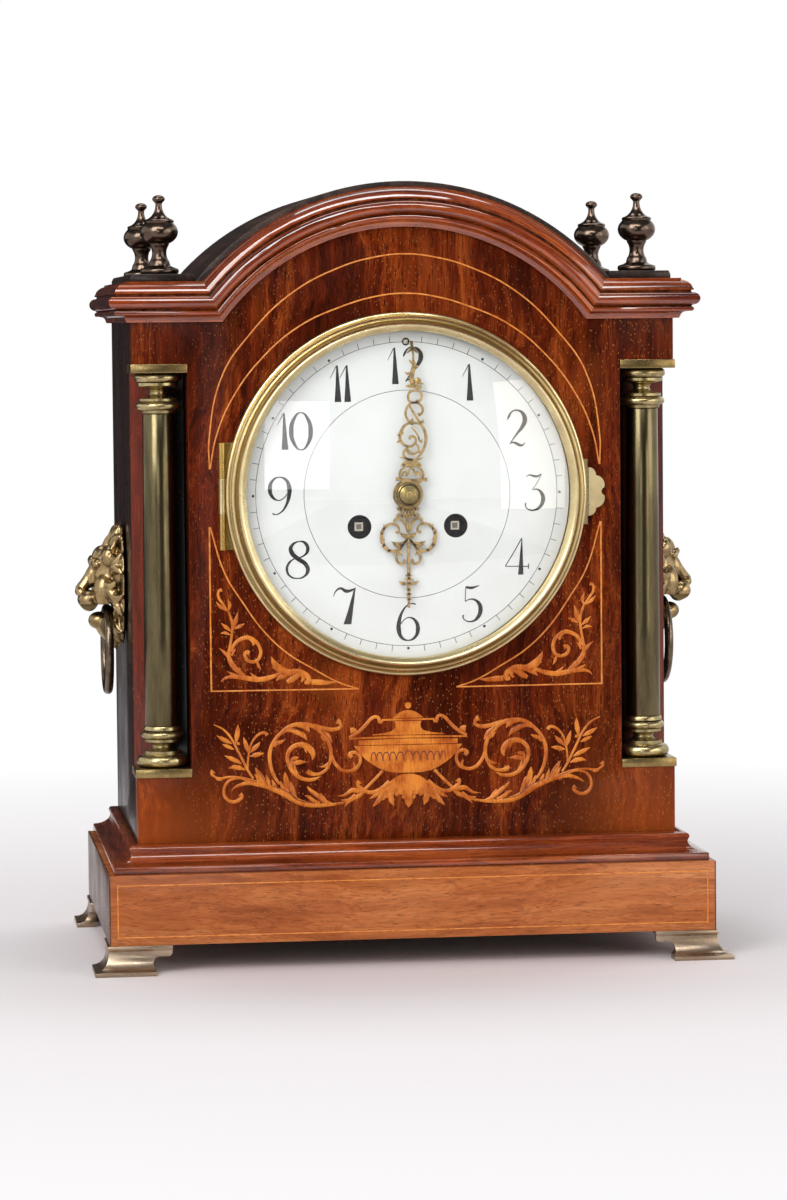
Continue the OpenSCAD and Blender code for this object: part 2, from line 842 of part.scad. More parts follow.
module dial_pan() {
    seat = dial_edge_y + dial_t;
    color(yellow_brass) {
        difference() {
            union() {
                turned(concat([[post_place - 4, pan_floor_y], [dial_r - 2, pan_floor_y], [dial_r - 2, seat],
                    [dial_r + 0.3, seat], [dial_r + 0.3, dial_edge_y - 0.4], [pan_r - 0.2, dial_edge_y - 0.4],
                    [pan_r - 0.2, -pan_flange_t], [bezel_r - 0.4, -pan_flange_t], [bezel_r - 0.4, 0],
                    [pan_r, 0], [pan_r, pan_floor_y + pan_floor_t],
                    [post_place - 4, pan_floor_y + pan_floor_t]]));
                for (a = post_angles)
                    bar(polar([0, 0], post_place, a), 2.5, pan_floor_y, plate_y);
            }
            bar(regulator_p, arbor_r + run_clear, -1, plate_y);
        }
        // Hinge leaf on the case front
        difference() {
            translate([-hinge_x - knuckle_r, front_y - pan_flange_t, dial_z - bezel_hinge_l / 2])
                cube([8, pan_flange_t, bezel_hinge_l]);
            bar([0, 0], bezel_r - 1, -2, 1);
        }
        difference() {
            for (side = [-1, 1])
                translate([-hinge_x - knuckle_r, front_y + hinge_y, dial_z - knuckle_l / 2 + knuckle_gap / 2
                    + side * knuckle_l])
                    cube([knuckle_r, -hinge_y, knuckle_l - knuckle_gap]);
            translate([-hinge_x, front_y + hinge_y, dial_z])
                cylinder(r = knuckle_r - 0.2, h = bezel_hinge_l + 1, center = true);
        }
        knuckles(-hinge_x, hinge_y, 0);
    }
}

// Distance of a bulging face in front of its edge, for an edge radius and a rise
function ball_r(edge, rise) = (edge ^ 2 + rise ^ 2) / (2 * rise);
function bulge(edge, rise, y, n) = let (r = ball_r(edge, rise), top = asin(edge / r))
    [for (i = [0 : n]) let (a = top * i / n) [r * sin(a), y - rise + r * (1 - cos(a))]];

// Depth of a bulging face at radius x
function dome_y(x, edge, rise, y) = let (r = ball_r(edge, rise)) y - rise + r - sqrt(r ^ 2 - x ^ 2);

module dial() {
    color("#f4f3ee")
        difference() {
            turned(concat(bulge(dial_r, dial_dome, dial_edge_y, 8),
                flip(bulge(dial_r, dial_dome, dial_edge_y + dial_t, 8))));
            bar([0, 0], hour_pipe_r + 0.9, -9, 9);
            for (p = [going_p, strike_p])
                bar(p, key_hole_r, -9, 9);
            bar(regulator_p, 1.8, -9, 9);
        }
}

// Bezel section: back flange, two beads and a wide inner round down to the sight edge
module bezel_ring() {
    w = bezel_w / 8.9;
    h = bezel_h / 13.5;
    glass_y = glass_seat_y + glass_t + 0.2;
    section = concat(
        [[bezel_r - 1.2 * w, bezel_back], [bezel_r, bezel_back]],
        [for (p = concat(oval([-1.1, 3], 1.1, 1.4, -20, 130, 5), [[-2.3, 4.6]],
            oval([-3.3, 6.9], 1.2, 2, -35, 145, 6), [[-4.7, 8.4]],
            oval([-6.3, 10.2], 1.6, 3.3, 0, 130, 6), [[-8.4, 12], [-8.9, 11.2]]))
            [bezel_r + p[0] * w, -p[1] * h]],
        [[sight_r, dome_y(sight_r, glass_r, glass_dome, glass_seat_y) - run_clear],
            [glass_r + touch_clear, glass_seat_y - run_clear], [glass_r + touch_clear, glass_y],
            [pan_r + 0.6, glass_y], [pan_r + 0.6, bezel_back]]);
    color(aged_brass) {
        turned(section);
        // Middle knuckle and its tongue to the ring
        difference() {
            translate([-hinge_x, front_y + hinge_y, dial_z - knuckle_l / 2 + knuckle_gap / 2])
                cube([hinge_x - bezel_r + 2.2, 1.2, knuckle_l - knuckle_gap]);
            translate([-hinge_x, front_y + hinge_y, dial_z])
                cylinder(r = knuckle_r - 0.2, h = bezel_hinge_l, center = true);
            bar([0, 0], bezel_r - 1.4, -9, 9);
        }
        knuckles(-hinge_x, hinge_y, 1);
        // Scalloped thumb plate at the right
        difference() {
            movement_slab(-3.6, 1)
                difference() {
                    union() {
                        translate([bezel_r - 5, -catch_l / 2])
                            square([5.4, catch_l]);
                        for (side = [-1, 1]) {
                            translate([bezel_r + catch_out - 4.5, side * 3])
                                circle(4.5);
                            translate([bezel_r + 0.8, side * 7.6])
                                circle(3.6);
                        }
                    }
                    translate([bezel_r + catch_out + 0.4, 0])
                        circle(1.9);
                }
            bar([0, 0], bezel_r - 1, -9, 9);
        }
    }
}

module bezel_glass() {
    color([0.85, 0.9, 0.92, 0.35])
        turned(concat(bulge(glass_r, glass_dome, glass_seat_y, 10),
            flip(bulge(glass_r, glass_dome, glass_seat_y + glass_t, 10))));
}

// The movement

// Half the angle that a tooth takes up at a radius, for a pressure angle of 25 degrees
function inv(a) = tan(a) * 180 / PI - a;
function tooth_half(r, m, z, slack) = let (rb = gear_r(m, z) * cos(25))
    90 / z * (1 - slack) + inv(25) - (r > rb ? inv(acos(rb / r)) : 0);

// Gear outline about the origin, with a tooth along +X
function gear_points(m, z, slack = 0.25, add = 0.65, ded = 0.95) =
    let (r = gear_r(m, z), root = r - ded * m, base = max(r * cos(25), root), tip = r + add * m,
        radii = [root, base, r, tip])
    [for (i = [0 : z - 1]) each concat(
        [for (q = radii) let (a = i * 360 / z - tooth_half(q, m, z, slack)) q * [cos(a), sin(a)]],
        [for (q = flip(radii)) let (a = i * 360 / z + tooth_half(q, m, z, slack)) q * [cos(a), sin(a)]])];

// A crossed-out wheel: the gear, its rim, hub and spokes
module wheel(m, z, hub, spokes = 5) {
    rim = gear_r(m, z) - 2.6;
    difference() {
        polygon(gear_points(m, z));
        difference() {
            circle(rim);
            circle(hub);
            for (i = [0 : spokes - 1])
                rotate(i * 360 / spokes)
                    translate([0, -0.8])
                        square([rim + 1, 1.6]);
        }
    }
}

module gear_slab(p, y, t, m, z, toward, hub = 0) {
    movement_slab(y, t, p)
        rotate(toward)
            if (hub > 0)
                wheel(m, z, hub);
            else
                polygon(gear_points(m, z));
}

// A pinion whose gap faces the wheel that drives it
module pinion(p, y, t, m, z, toward) {
    gear_slab(p, y, t, m, z, toward + 180 / z);
}

// An arbor with its pivots in both plates
module arbor(p, r = arbor_r, back = back_plate_end) {
    bar(p, r, plate_in + 0.3, plate_out - 0.3);
    bar(p, pivot_r, plate_y, back);
}

module plate_holes(y0, y1) {
    for (p = [second_p, third_p, escape_p, anchor_p, strike_second_p, pin_p, warning_p, fly_p, hammer_p])
        bar(p, pivot_r + run_clear, y0, y1);
    for (p = [going_p, strike_p])
        bar(p, wind_pivot_r + run_clear, y0, y1);
    bar(centre_p, centre_r + run_clear, y0, y1);
}

centre_r = 1.5;

module front_plate() {
    color(yellow_brass)
        difference() {
            bar([0, 0], plate_r, plate_y, plate_in);
            plate_holes(plate_y - 1, plate_in + 1);
        }
}

// Back plate with its riveted pillars
module back_plate() {
    color(yellow_brass)
        difference() {
            union() {
                bar([0, 0], plate_r, plate_out, back_plate_end);
                for (a = pillar_angles) {
                    bar(polar([0, 0], pillar_place, a), 2.2, plate_in, plate_out);
                    bar(polar([0, 0], pillar_place, a), 3, plate_in + plate_gap / 2 - 4, plate_in + plate_gap / 2 + 4);
                }
            }
            plate_holes(plate_out - 1, back_plate_end + 1);
        }
}

// Centre arbor with its wheel and pinion: it turns once an hour
module centre_wheel() {
    color(yellow_brass) {
        bar(centre_p, centre_r, cannon_front, back_plate_end);
        gear_slab(centre_p, centre_wheel_y, wheel_t, light_m, centre_teeth, aim(centre_p, third_p), 4);
        pinion(centre_p, second_wheel_y - leaf_over, wheel_t + 2 * leaf_over, heavy_m, leaves,
            aim(centre_p, second_p));
    }
}

hour_pipe_r = 3.4;
hour_bore_r = 2.75;
cannon_pipe_r = 2.6;
cannon_y = plate_y - 3.2;
cannon_t = 2.4;
hour_wheel_y = cannon_y - 2.8;
hour_hand_y = dial_edge_y - dial_dome - 2.2;
minute_hand_y = hour_hand_y - hand_t - 1.2;
cannon_front = minute_hand_y - 3;

module cannon_pinion() {
    color(steel)
        difference() {
            union() {
                bar(centre_p, cannon_pipe_r, minute_hand_y + hand_t, plate_y - 0.3);
                bar(centre_p, 2, minute_hand_y - 0.6, cannon_y);
                pinion(centre_p, cannon_y, cannon_t, motion_m, cannon_teeth, aim(centre_p, minute_p));
            }
            bar(centre_p, centre_r, minute_hand_y - 2, plate_y + 1);
        }
}

module hour_wheel() {
    color(yellow_brass)
        difference() {
            union() {
                bar(centre_p, hour_pipe_r, hour_hand_y - 0.5, hour_wheel_y + 0.6);
                gear_slab(centre_p, hour_wheel_y, 1.2, hour_m, hour_teeth, aim(centre_p, minute_p), 4.6);
            }
            bar(centre_p, hour_bore_r, hour_hand_y - 2, cannon_y);
        }
}

// Minute wheel and its pinion, on a stud of its own
module minute_wheel() {
    up = aim(minute_p, centre_p);
    color(yellow_brass)
        difference() {
            union() {
                gear_slab(minute_p, cannon_y + 0.5, 1.2, motion_m, minute_teeth, up, 3);
                pinion(minute_p, hour_wheel_y - 0.6, cannon_y + 0.5 - hour_wheel_y + 0.8, hour_m,
                    minute_leaves, up);
                bar(minute_p, 1.6, hour_wheel_y - 0.6, cannon_y + 2);
                bar(minute_p, 0.8, cannon_y + 1, plate_y - touch_clear);
            }
            bar(minute_p, 0.4, hour_wheel_y - 2, plate_y);
        }
}

// The main outline of a pierced hand along +Z: bars, rings and leaves on one plate,
// drawn for a length of 71.5
module minute_hand() {
    color(gilt)
        movement_slab(minute_hand_y, hand_t)
            difference() {
                scale(minute_hand_l / 71.5) {
                    circle(5);
                    translate([-0.9, 4])
                        square([1.8, 59.5]);
                    hand_bar(7, 10.4);
                    hand_bar(15.6, 10);
                    hand_ring(11.2, 4.2);
                    hand_ring(26.6, 7);
                    hand_ring(34, 4.6);
                    hand_ring(42.4, 5.2);
                    hand_ring(49.6, 2.6);
                    hand_leaf(57, 4.6, 9);
                    hand_leaf(65.3, 2, 12.4);
                }
                circle(2);
            }
}

module hand_bar(at, w) {
    translate([-w / 2, at - 0.7])
        square([w, 1.4]);
}

module hand_ring(at, r) {
    translate([0, at])
        difference() {
            circle(r);
            circle(r - 1.3);
        }
}

module hand_leaf(at, w, l) {
    translate([0, at])
        polygon([for (i = [0 : 15]) let (a = i * 24) [w / 2 * sin(a), -l / 2 * cos(a)]]);
}

// Drawn for a length of 52
module hour_hand() {
    color(gilt)
        movement_slab(hour_hand_y, hand_t)
            mirror([0, 1])
                difference() {
                    scale(hour_hand_l / 52) {
                        circle(6.4);
                        translate([-1, 5])
                            square([2, 42]);
                        hand_bar(8.2, 9);
                        both_sides() {
                            translate([7, 17.6])
                                hand_ring(0, 5);
                            translate([4, 27])
                                hand_ring(0, 3.3);
                        }
                        hand_leaf(20, 7, 14);
                        hand_leaf(38, 8, 3);
                        hand_leaf(42, 4.4, 10);
                        hand_leaf(47.5, 3, 9);
                    }
                    circle(hour_pipe_r);
                }
}

module hand_nut() {
    face = minute_hand_y - 0.7;
    color(gilt)
        difference() {
            turned([[0, face - 2.6], [2.4, face - 2.2], [4.6, face - 0.8], [5.4, face - 0.8], [5.4, face],
                [0, face]]);
            bar(centre_p, centre_r, cannon_front - 1, 0);
        }
}

module drum(p, toward) {
    outer = gear_r(heavy_m, barrel_teeth) - 1.7;
    bore = wind_arbor_r + run_clear;
    difference() {
        union() {
            turned([[bore, drum_y], [outer, drum_y], [outer, barrel_wheel_y + 0.5], [bore, barrel_wheel_y + 0.5]], p);
            gear_slab(p, barrel_wheel_y, barrel_wheel_t, heavy_m, barrel_teeth, toward);
        }
        // Room for the mainspring
        turned([[5, drum_y + 1], [outer - 1, drum_y + 1], [outer - 1, barrel_wheel_y - 1], [5, barrel_wheel_y - 1]], p);
        bar(p, bore, drum_y - 1, barrel_wheel_y + barrel_wheel_t + 1);
    }
}

// Barrel arbor with its squared front end and ratchet wheel
module winding_arbor(p) {
    square_w = 4.6;
    ratchet_y = plate_y - 2.6;
    bar(p, wind_arbor_r, plate_in + 0.3, plate_out - 0.3);
    bar(p, wind_pivot_r, ratchet_y, back_plate_end);
    movement_slab(-1.4, ratchet_y + 1.4, p)
        square(square_w, center = true);
    movement_slab(ratchet_y, 1.8, p)
        polygon([for (i = [0 : 23]) each [polar([0, 0], ratchet_r, i * 15), polar([0, 0], ratchet_r - 1.2, i * 15 + 2)]]);
}

ratchet_r = 7.4;

module going_barrel() {
    color(yellow_brass)
        drum(going_p, aim(going_p, second_p));
}

module strike_barrel() {
    color(yellow_brass)
        drum(strike_p, aim(strike_p, strike_second_p));
}

module going_winding_arbor() {
    color(steel)
        winding_arbor(going_p);
}

module strike_winding_arbor() {
    color(steel)
        winding_arbor(strike_p);
}

// Clicks lie just clear of the ratchet teeth
module winding_clicks() {
    color(steel)
        for (p = [going_p, strike_p])
            movement_slab(plate_y - 2.6, 2.6, p)
                rotate(p[0] > 0 ? -60 : 240)
                    translate([ratchet_r + 0.3, -2])
                        polygon([[0, 1.6], [2.4, 0], [5, 0], [6, 2], [5, 4], [2, 4]]);
}

// A second arbor: pinion on the barrel wheel and a wheel behind it
module second_arbor(p, barrel, next) {
    arbor(p);
    pinion(p, barrel_wheel_y - leaf_over, barrel_wheel_t + 2 * leaf_over, heavy_m, leaves, aim(p, barrel));
    gear_slab(p, second_wheel_y, wheel_t, heavy_m, second_teeth, aim(p, next), 3.4);
}

module going_second_wheel() {
    color(yellow_brass)
        second_arbor(second_p, going_p, centre_p);
}

// The strike's second arbor also carries the count wheel behind the back plate
module strike_second_wheel() {
    color(yellow_brass) {
        second_arbor(strike_second_p, strike_p, pin_p);
        bar(strike_second_p, pivot_r, back_plate_end - 1, back_plate_end + 2);
        movement_slab(back_plate_end + 0.6, 1.4, strike_second_p)
            difference() {
                circle(count_r);
                for (i = [1 : 12])
                    rotate(-(i * (i + 1) / 2 + i) * 4)
                        translate([count_r - 2, -0.7])
                            square([3, 1.4]);
                for (i = [0 : 4])
                    rotate(i * 72)
                        translate([count_r * 0.52, 0])
                            circle(count_r * 0.24);
            }
    }
}

count_r = 13;

module third_wheel() {
    color(yellow_brass) {
        arbor(third_p);
        pinion(third_p, centre_wheel_y - leaf_over, wheel_t + 2 * leaf_over, light_m, leaves, aim(third_p, centre_p));
        gear_slab(third_p, third_wheel_y, wheel_t, fine_m, third_teeth, aim(third_p, escape_p), 3);
    }
}

module escape_wheel() {
    color(yellow_brass) {
        arbor(escape_p);
        pinion(escape_p, third_wheel_y - leaf_over, wheel_t + 2 * leaf_over, fine_m, leaves, aim(escape_p, third_p));
        movement_slab(escape_wheel_y, 1.2, escape_p)
            difference() {
                polygon([for (i = [0 : escape_teeth - 1]) each let (a = i * 360 / escape_teeth)
                    [polar([0, 0], escape_r - 1.6, a - 3.4), polar([0, 0], escape_r, a),
                        polar([0, 0], escape_r - 1.6, a + 1.2)]]);
                difference() {
                    circle(escape_r - 2.8);
                    circle(2.4);
                    for (i = [0 : 3])
                        rotate(i * 90)
                            translate([0, -0.7])
                                square([escape_r, 1.4]);
                }
            }
    }
}

// Anchor with its pallets just outside the escape wheel, and the crutch behind the back plate
module anchor() {
    reach = escape_r + 1.1;
    pallet = 52;
    color(steel) {
        arbor(anchor_p, arbor_r, crutch_y);
        movement_slab(escape_wheel_y - 0.4, 2, anchor_p)
            difference() {
                union() {
                    circle(2.8);
                    both_sides()
                        polygon([[0, 2.2], [reach * sin(pallet) + 1.6, reach * cos(pallet) - anchor_up + 1.4],
                            [reach * sin(pallet) + 0.4, reach * cos(pallet) - anchor_up - 2],
                            [reach * sin(pallet) - 1, reach * cos(pallet) - anchor_up + 1.6], [0, -2.2]]);
                }
                translate([0, -anchor_up])
                    circle(escape_r + 1);
            }
        movement_slab(crutch_y - 0.8, 1.8, anchor_p)
            union() {
                circle(2.4);
                translate([-1, -crutch_l])
                    square([2, crutch_l]);
                translate([-4, -crutch_l - 2])
                    square([8, 3]);
            }
        // Fork that embraces the pendulum rod
        for (side = [-1, 1])
            translate([side * (rod_r + 1.35) - 1.2, front_y + crutch_y, dial_z + anchor_p[1] - crutch_l - 2])
                cube([2.4, pendulum_y + rod_r + 1 - crutch_y, 3]);
    }
}

crutch_l = 32;

// Bracket on the back plate that carries the suspension and the regulator arbor
module suspension_cock() {
    foot_y = back_plate_end;
    low = anchor_p[1] + 3.6;
    color(yellow_brass)
        difference() {
            union() {
                movement_slab(foot_y, 3)
                    translate([-9, low])
                        square([18, regulator_up + 6 - low]);
                movement_slab(foot_y + 3, pendulum_y + 3 - foot_y - 3)
                    translate([-4, low + 4])
                        square([8, 8]);
                movement_slab(pendulum_y - 3, 6)
                    translate([-0.2, low - 3.4])
                        square([0.4, 8]);
            }
            bar(regulator_p, arbor_r + run_clear, foot_y - 1, foot_y + 4);
        }
}

// Rod with the lower half of its suspension spring and the rating thread
module pendulum_rod() {
    top = anchor_p[1] - 7;
    bob = anchor_p[1] - pendulum_l;
    color(steel) {
        movement_slab(pendulum_y - 3, 6)
            translate([-0.2, top - 1])
                square([0.4, 8]);
        movement_slab(pendulum_y - 3.5, 7)
            translate([-2, top - 3])
                square([4, 4]);
        translate([0, front_y + pendulum_y, dial_z + bob - bob_r - 7])
            cylinder(r = rod_r, h = top - bob + bob_r + 5);
        // Rating nut under the bob
        translate([0, front_y + pendulum_y, dial_z + bob - bob_r - 5])
            cylinder(r = 4, h = 3.6);
    }
}

module pendulum_bob() {
    p = [0, anchor_p[1] - pendulum_l];
    color(yellow_brass)
        difference() {
            turned([[0, pendulum_y - bob_t / 2], [bob_r * 0.45, pendulum_y - bob_t / 2 + 0.6],
                [bob_r * 0.85, pendulum_y - bob_t / 2 + 2.8], [bob_r, pendulum_y - 1], [bob_r, pendulum_y + 1],
                [bob_r * 0.85, pendulum_y + bob_t / 2 - 2.8], [bob_r * 0.45, pendulum_y + bob_t / 2 - 0.6],
                [0, pendulum_y + bob_t / 2]], p);
            translate([0, front_y + pendulum_y, dial_z + p[1] - bob_r - 1])
                cylinder(r = rod_r, h = 2 * bob_r + 2);
        }
}

// Pin wheel: its pins lift the hammer
module pin_wheel() {
    color(yellow_brass) {
        arbor(pin_p);
        pinion(pin_p, second_wheel_y - leaf_over, wheel_t + 2 * leaf_over, heavy_m, leaves,
            aim(pin_p, strike_second_p));
        gear_slab(pin_p, centre_wheel_y, wheel_t, fine_m, pin_teeth, aim(pin_p, warning_p), 3);
        for (i = [0 : 7])
            bar(polar(pin_p, gear_r(fine_m, pin_teeth) - 1.6, i * 45), 0.5, centre_wheel_y + wheel_t - 0.2,
                centre_wheel_y + wheel_t + 1.8);
    }
}

module warning_wheel() {
    color(yellow_brass) {
        arbor(warning_p);
        pinion(warning_p, centre_wheel_y - leaf_over, wheel_t + 2 * leaf_over, fine_m, leaves, aim(warning_p, pin_p));
        gear_slab(warning_p, warning_wheel_y, 1.2, fly_m, warning_teeth, aim(warning_p, fly_p), 2.6);
    }
}

module fly() {
    vane_w = 12;
    color(yellow_brass) {
        arbor(fly_p);
        pinion(fly_p, warning_wheel_y - leaf_over, 1.2 + 2 * leaf_over, fly_m, leaves, aim(fly_p, warning_p));
        movement_slab(warning_wheel_y + 5, plate_out - 4 - warning_wheel_y - 5, fly_p)
            translate([-vane_w / 2, -0.4])
                square([vane_w, 0.8]);
    }
}

// Hammer: arbor through the back plate, a long rod and a leather-faced head by the gong
module hammer() {
    rod_y = gong_y + gong_wire / 2 + 0.9;
    head_z = gong_z - dial_z;
    head_x = -gong_r - 1 - head_l;
    lean = atan2(hammer_p[0] - head_x, hammer_p[1] - head_z);
    rod_l = norm([hammer_p[0] - head_x, hammer_p[1] - head_z]);
    color(steel) {
        arbor(hammer_p, arbor_r, rod_y + 1.5);
        movement_slab(centre_wheel_y + wheel_t + 0.3, 1.2, hammer_p)
            rotate(aim(hammer_p, pin_p))
                translate([0, -0.8])
                    square([4.2, 1.6]);
        bar(hammer_p, 2, rod_y - 2, rod_y + 2);
        translate([hammer_p[0], front_y + rod_y, dial_z + hammer_p[1]])
            rotate([0, lean, 0])
                translate([0, 0, -rod_l])
                    cylinder(r = 1, h = rod_l);
        translate([head_x - 1, front_y + rod_y, gong_z])
            rotate([0, 90, 0])
                cylinder(r = 3.6, h = head_l + 1);
    }
}

head_l = 9;

// Coiled gong: one flat spiral wire, wound from its block outwards
gong_steps = 36;
gong_in = gong_r - gong_wire / 2 - gong_turns * gong_pitch;
function gong_radius(t) = gong_in + gong_pitch * t;
echo("least gap between the gong's turns", gong_pitch - gong_wire);

module gong() {
    n = round(gong_turns * gong_steps);
    color(blue_steel)
        slab(gong_y, gong_wire + 0.8)
            translate([0, gong_z])
                polygon(concat(
                    [for (i = [0 : n]) polar([0, 0], gong_radius(i / gong_steps) - gong_wire / 2, i * 360 / gong_steps)],
                    [for (i = [n : -1 : 0]) polar([0, 0], gong_radius(i / gong_steps) + gong_wire / 2, i * 360 / gong_steps)]));
}

// Cast stand whose block grips the gong's inner end
module gong_stand() {
    depth = gong_wire + 0.8;
    back = gong_y + depth + 1;
    post_t = 7;
    block = 6;
    color("#2c2c2e") {
        slab(back, post_t)
            polygon([[-16, case_z], [16, case_z], [gong_in + 3, gong_z + 4], [gong_in - 4, gong_z + 4]]);
        translate([-22, front_y + back - 5, case_z])
            cube([44, post_t + 12, 6]);
        difference() {
            slab(gong_y - 2, back - gong_y + 2)
                translate([gong_in - block / 2, gong_z - block / 2])
                    square(block);
            slab(gong_y, depth)
                translate([gong_in - gong_wire / 2 - 0.4, gong_z])
                    square([gong_wire + 0.5, block]);
        }
    }
}

// Long arbor from the dial to the suspension, squared for the small end of the key
module regulator_arbor() {
    end = back_plate_end + 3;
    color(steel) {
        bar(regulator_p, arbor_r, 0, end + 3);
        movement_slab(dial_edge_y - 0.4, 3, regulator_p)
            square(1.7, center = true);
        bar(regulator_p, 4, end + 0.3, end + 2);
    }
}

// Straps from the dial pan to the rear ring, and their screws
rear_lug_y = case_d - 9;
strap_t = 2;
strap_w = 12;

module movement_straps() {
    color(yellow_brass)
        both_sides() {
            y0 = pan_floor_y + pan_floor_t;
            translate([strap_x, front_y + y0, dial_z - strap_w / 2])
                cube([strap_t, rear_lug_y - y0, strap_w]);
            difference() {
                translate([strap_x - 8, front_y + rear_lug_y - strap_t, dial_z - strap_w / 2])
                    cube([8, strap_t, strap_w]);
                bar([strap_x - 4, 0], screw_r + run_clear, rear_lug_y - 3, rear_lug_y + 1);
            }
        }
}

screw_r = 1.5;

module strap_screws() {
    color(steel)
        both_sides()
            difference() {
                union() {
                    bar([strap_x - 4, 0], screw_r, rear_lug_y - 6, rear_lug_y + 3);
                    bar([strap_x - 4, 0], 3, rear_lug_y + 2.4, rear_lug_y + 4.4);
                }
                translate([strap_x - 8, front_y + rear_lug_y + 3.4, dial_z - 0.4])
                    cube([8, 2, 0.8]);
            }
}

// Rear ring in the case back, its door and glass
ring_wall = 1.6;
rear_flange_t = 1.6;
door_y = case_d + rear_flange_t + touch_clear;
door_r = rear_hole_r + 5;
door_hinge_x = door_r + 2.6;
door_hinge_y = door_y + knuckle_r;

module rear_ring() {
    color(yellow_brass) {
        difference() {
            turned([[rear_hole_r - ring_wall, case_d - board_t], [rear_hole_r, case_d - board_t],
                [rear_hole_r, case_d], [rear_hole_r + 7, case_d], [rear_hole_r + 7, case_d + rear_flange_t],
                [rear_hole_r - ring_wall, case_d + rear_flange_t]]);
        }
        // Lugs that take the strap screws
        both_sides()
            difference() {
                translate([strap_x - 8, front_y + rear_lug_y, dial_z - strap_w / 2])
                    cube([rear_hole_r - 1.2 - strap_x + 8, 2.4, strap_w]);
                bar([strap_x - 4, 0], screw_r + run_clear, rear_lug_y - 1, rear_lug_y + 4);
            }
        difference() {
            translate([door_r + 0.4, front_y + case_d, dial_z - bezel_hinge_l / 2])
                cube([door_hinge_x - door_r + 1, rear_flange_t, bezel_hinge_l]);
            bar([0, 0], door_r + 1, case_d - 1, case_d + 5);
        }
        difference() {
            for (side = [-1, 1])
                translate([door_hinge_x, front_y + case_d, dial_z - knuckle_l / 2 + knuckle_gap / 2 + side * knuckle_l])
                    cube([knuckle_r, door_hinge_y - case_d, knuckle_l - knuckle_gap]);
            translate([door_hinge_x, front_y + door_hinge_y, dial_z])
                cylinder(r = knuckle_r - 0.2, h = bezel_hinge_l + 1, center = true);
        }
        knuckles(door_hinge_x, door_hinge_y, 0);
    }
}

module rear_door() {
    seat = 1.2;
    inner = door_r - door_rim_w;
    color(yellow_brass) {
        turned([[inner + 1.4, door_y], [door_r, door_y], [door_r, door_y + door_t - 1], [door_r - 1.4, door_y + door_t],
            [door_r - 4, door_y + door_t - 0.6], [inner + 2, door_y + door_t - 0.6], [inner, door_y + door_t],
            [inner, door_y + seat], [inner + 1.4, door_y + seat]]);
        difference() {
            translate([door_r - 1.6, front_y + door_y, dial_z - knuckle_l / 2 + knuckle_gap / 2])
                cube([door_hinge_x - door_r + 1.6, 1.2, knuckle_l - knuckle_gap]);
            translate([door_hinge_x, front_y + door_hinge_y, dial_z])
                cylinder(r = knuckle_r - 0.2, h = bezel_hinge_l, center = true);
            bar([0, 0], door_r - 1.5, case_d, case_d + 9);
        }
        knuckles(door_hinge_x, door_hinge_y, 1);
        // Turned knob
        turned([[0, door_y + 1], [2.2, door_y + 1], [2.2, door_y + door_t + 0.6], [3.6, door_y + door_t + 1.2],
            [3.2, door_y + door_t + 2.3], [0, door_y + door_t + 2.4]], [-(door_r - 3.4), 0]);
    }
}

module rear_door_glass() {
    r = door_r - door_rim_w + 1.3;
    color([0.85, 0.9, 0.92, 0.35])
        bar([0, 0], r, door_y, door_y + 1.2);
}

plinth();
base_board();
plinth_moulding();
case_front();
case_side_left();
case_side_right();
case_back();
shoulder_boards();
arched_roof();
cornice_moulding();
shoulder_caps();
finials();
bracket_feet();
column_left();
column_right();
column_capitals();
column_bases();
column_plates();
lion_mask_left();
lion_mask_right();
ring_handle_left();
ring_handle_right();
dial_pan();
dial();
bezel_ring();
bezel_glass();
movement_straps();
strap_screws();
front_plate();
back_plate();
centre_wheel();
cannon_pinion();
minute_hand();
hand_nut();
hour_wheel();
hour_hand();
minute_wheel();
going_barrel();
going_winding_arbor();
going_second_wheel();
third_wheel();
escape_wheel();
anchor();
suspension_cock();
pendulum_rod();
pendulum_bob();
strike_barrel();
strike_winding_arbor();
strike_second_wheel();
pin_wheel();
warning_wheel();
fly();
hammer();
gong();
gong_stand();
regulator_arbor();
winding_clicks();
rear_ring();
rear_door();
rear_door_glass();
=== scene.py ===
"""Dresses the table clock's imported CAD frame: wood, brass, enamel, inlay, light and camera."""

import math

import bpy
from mathutils import Matrix, Vector


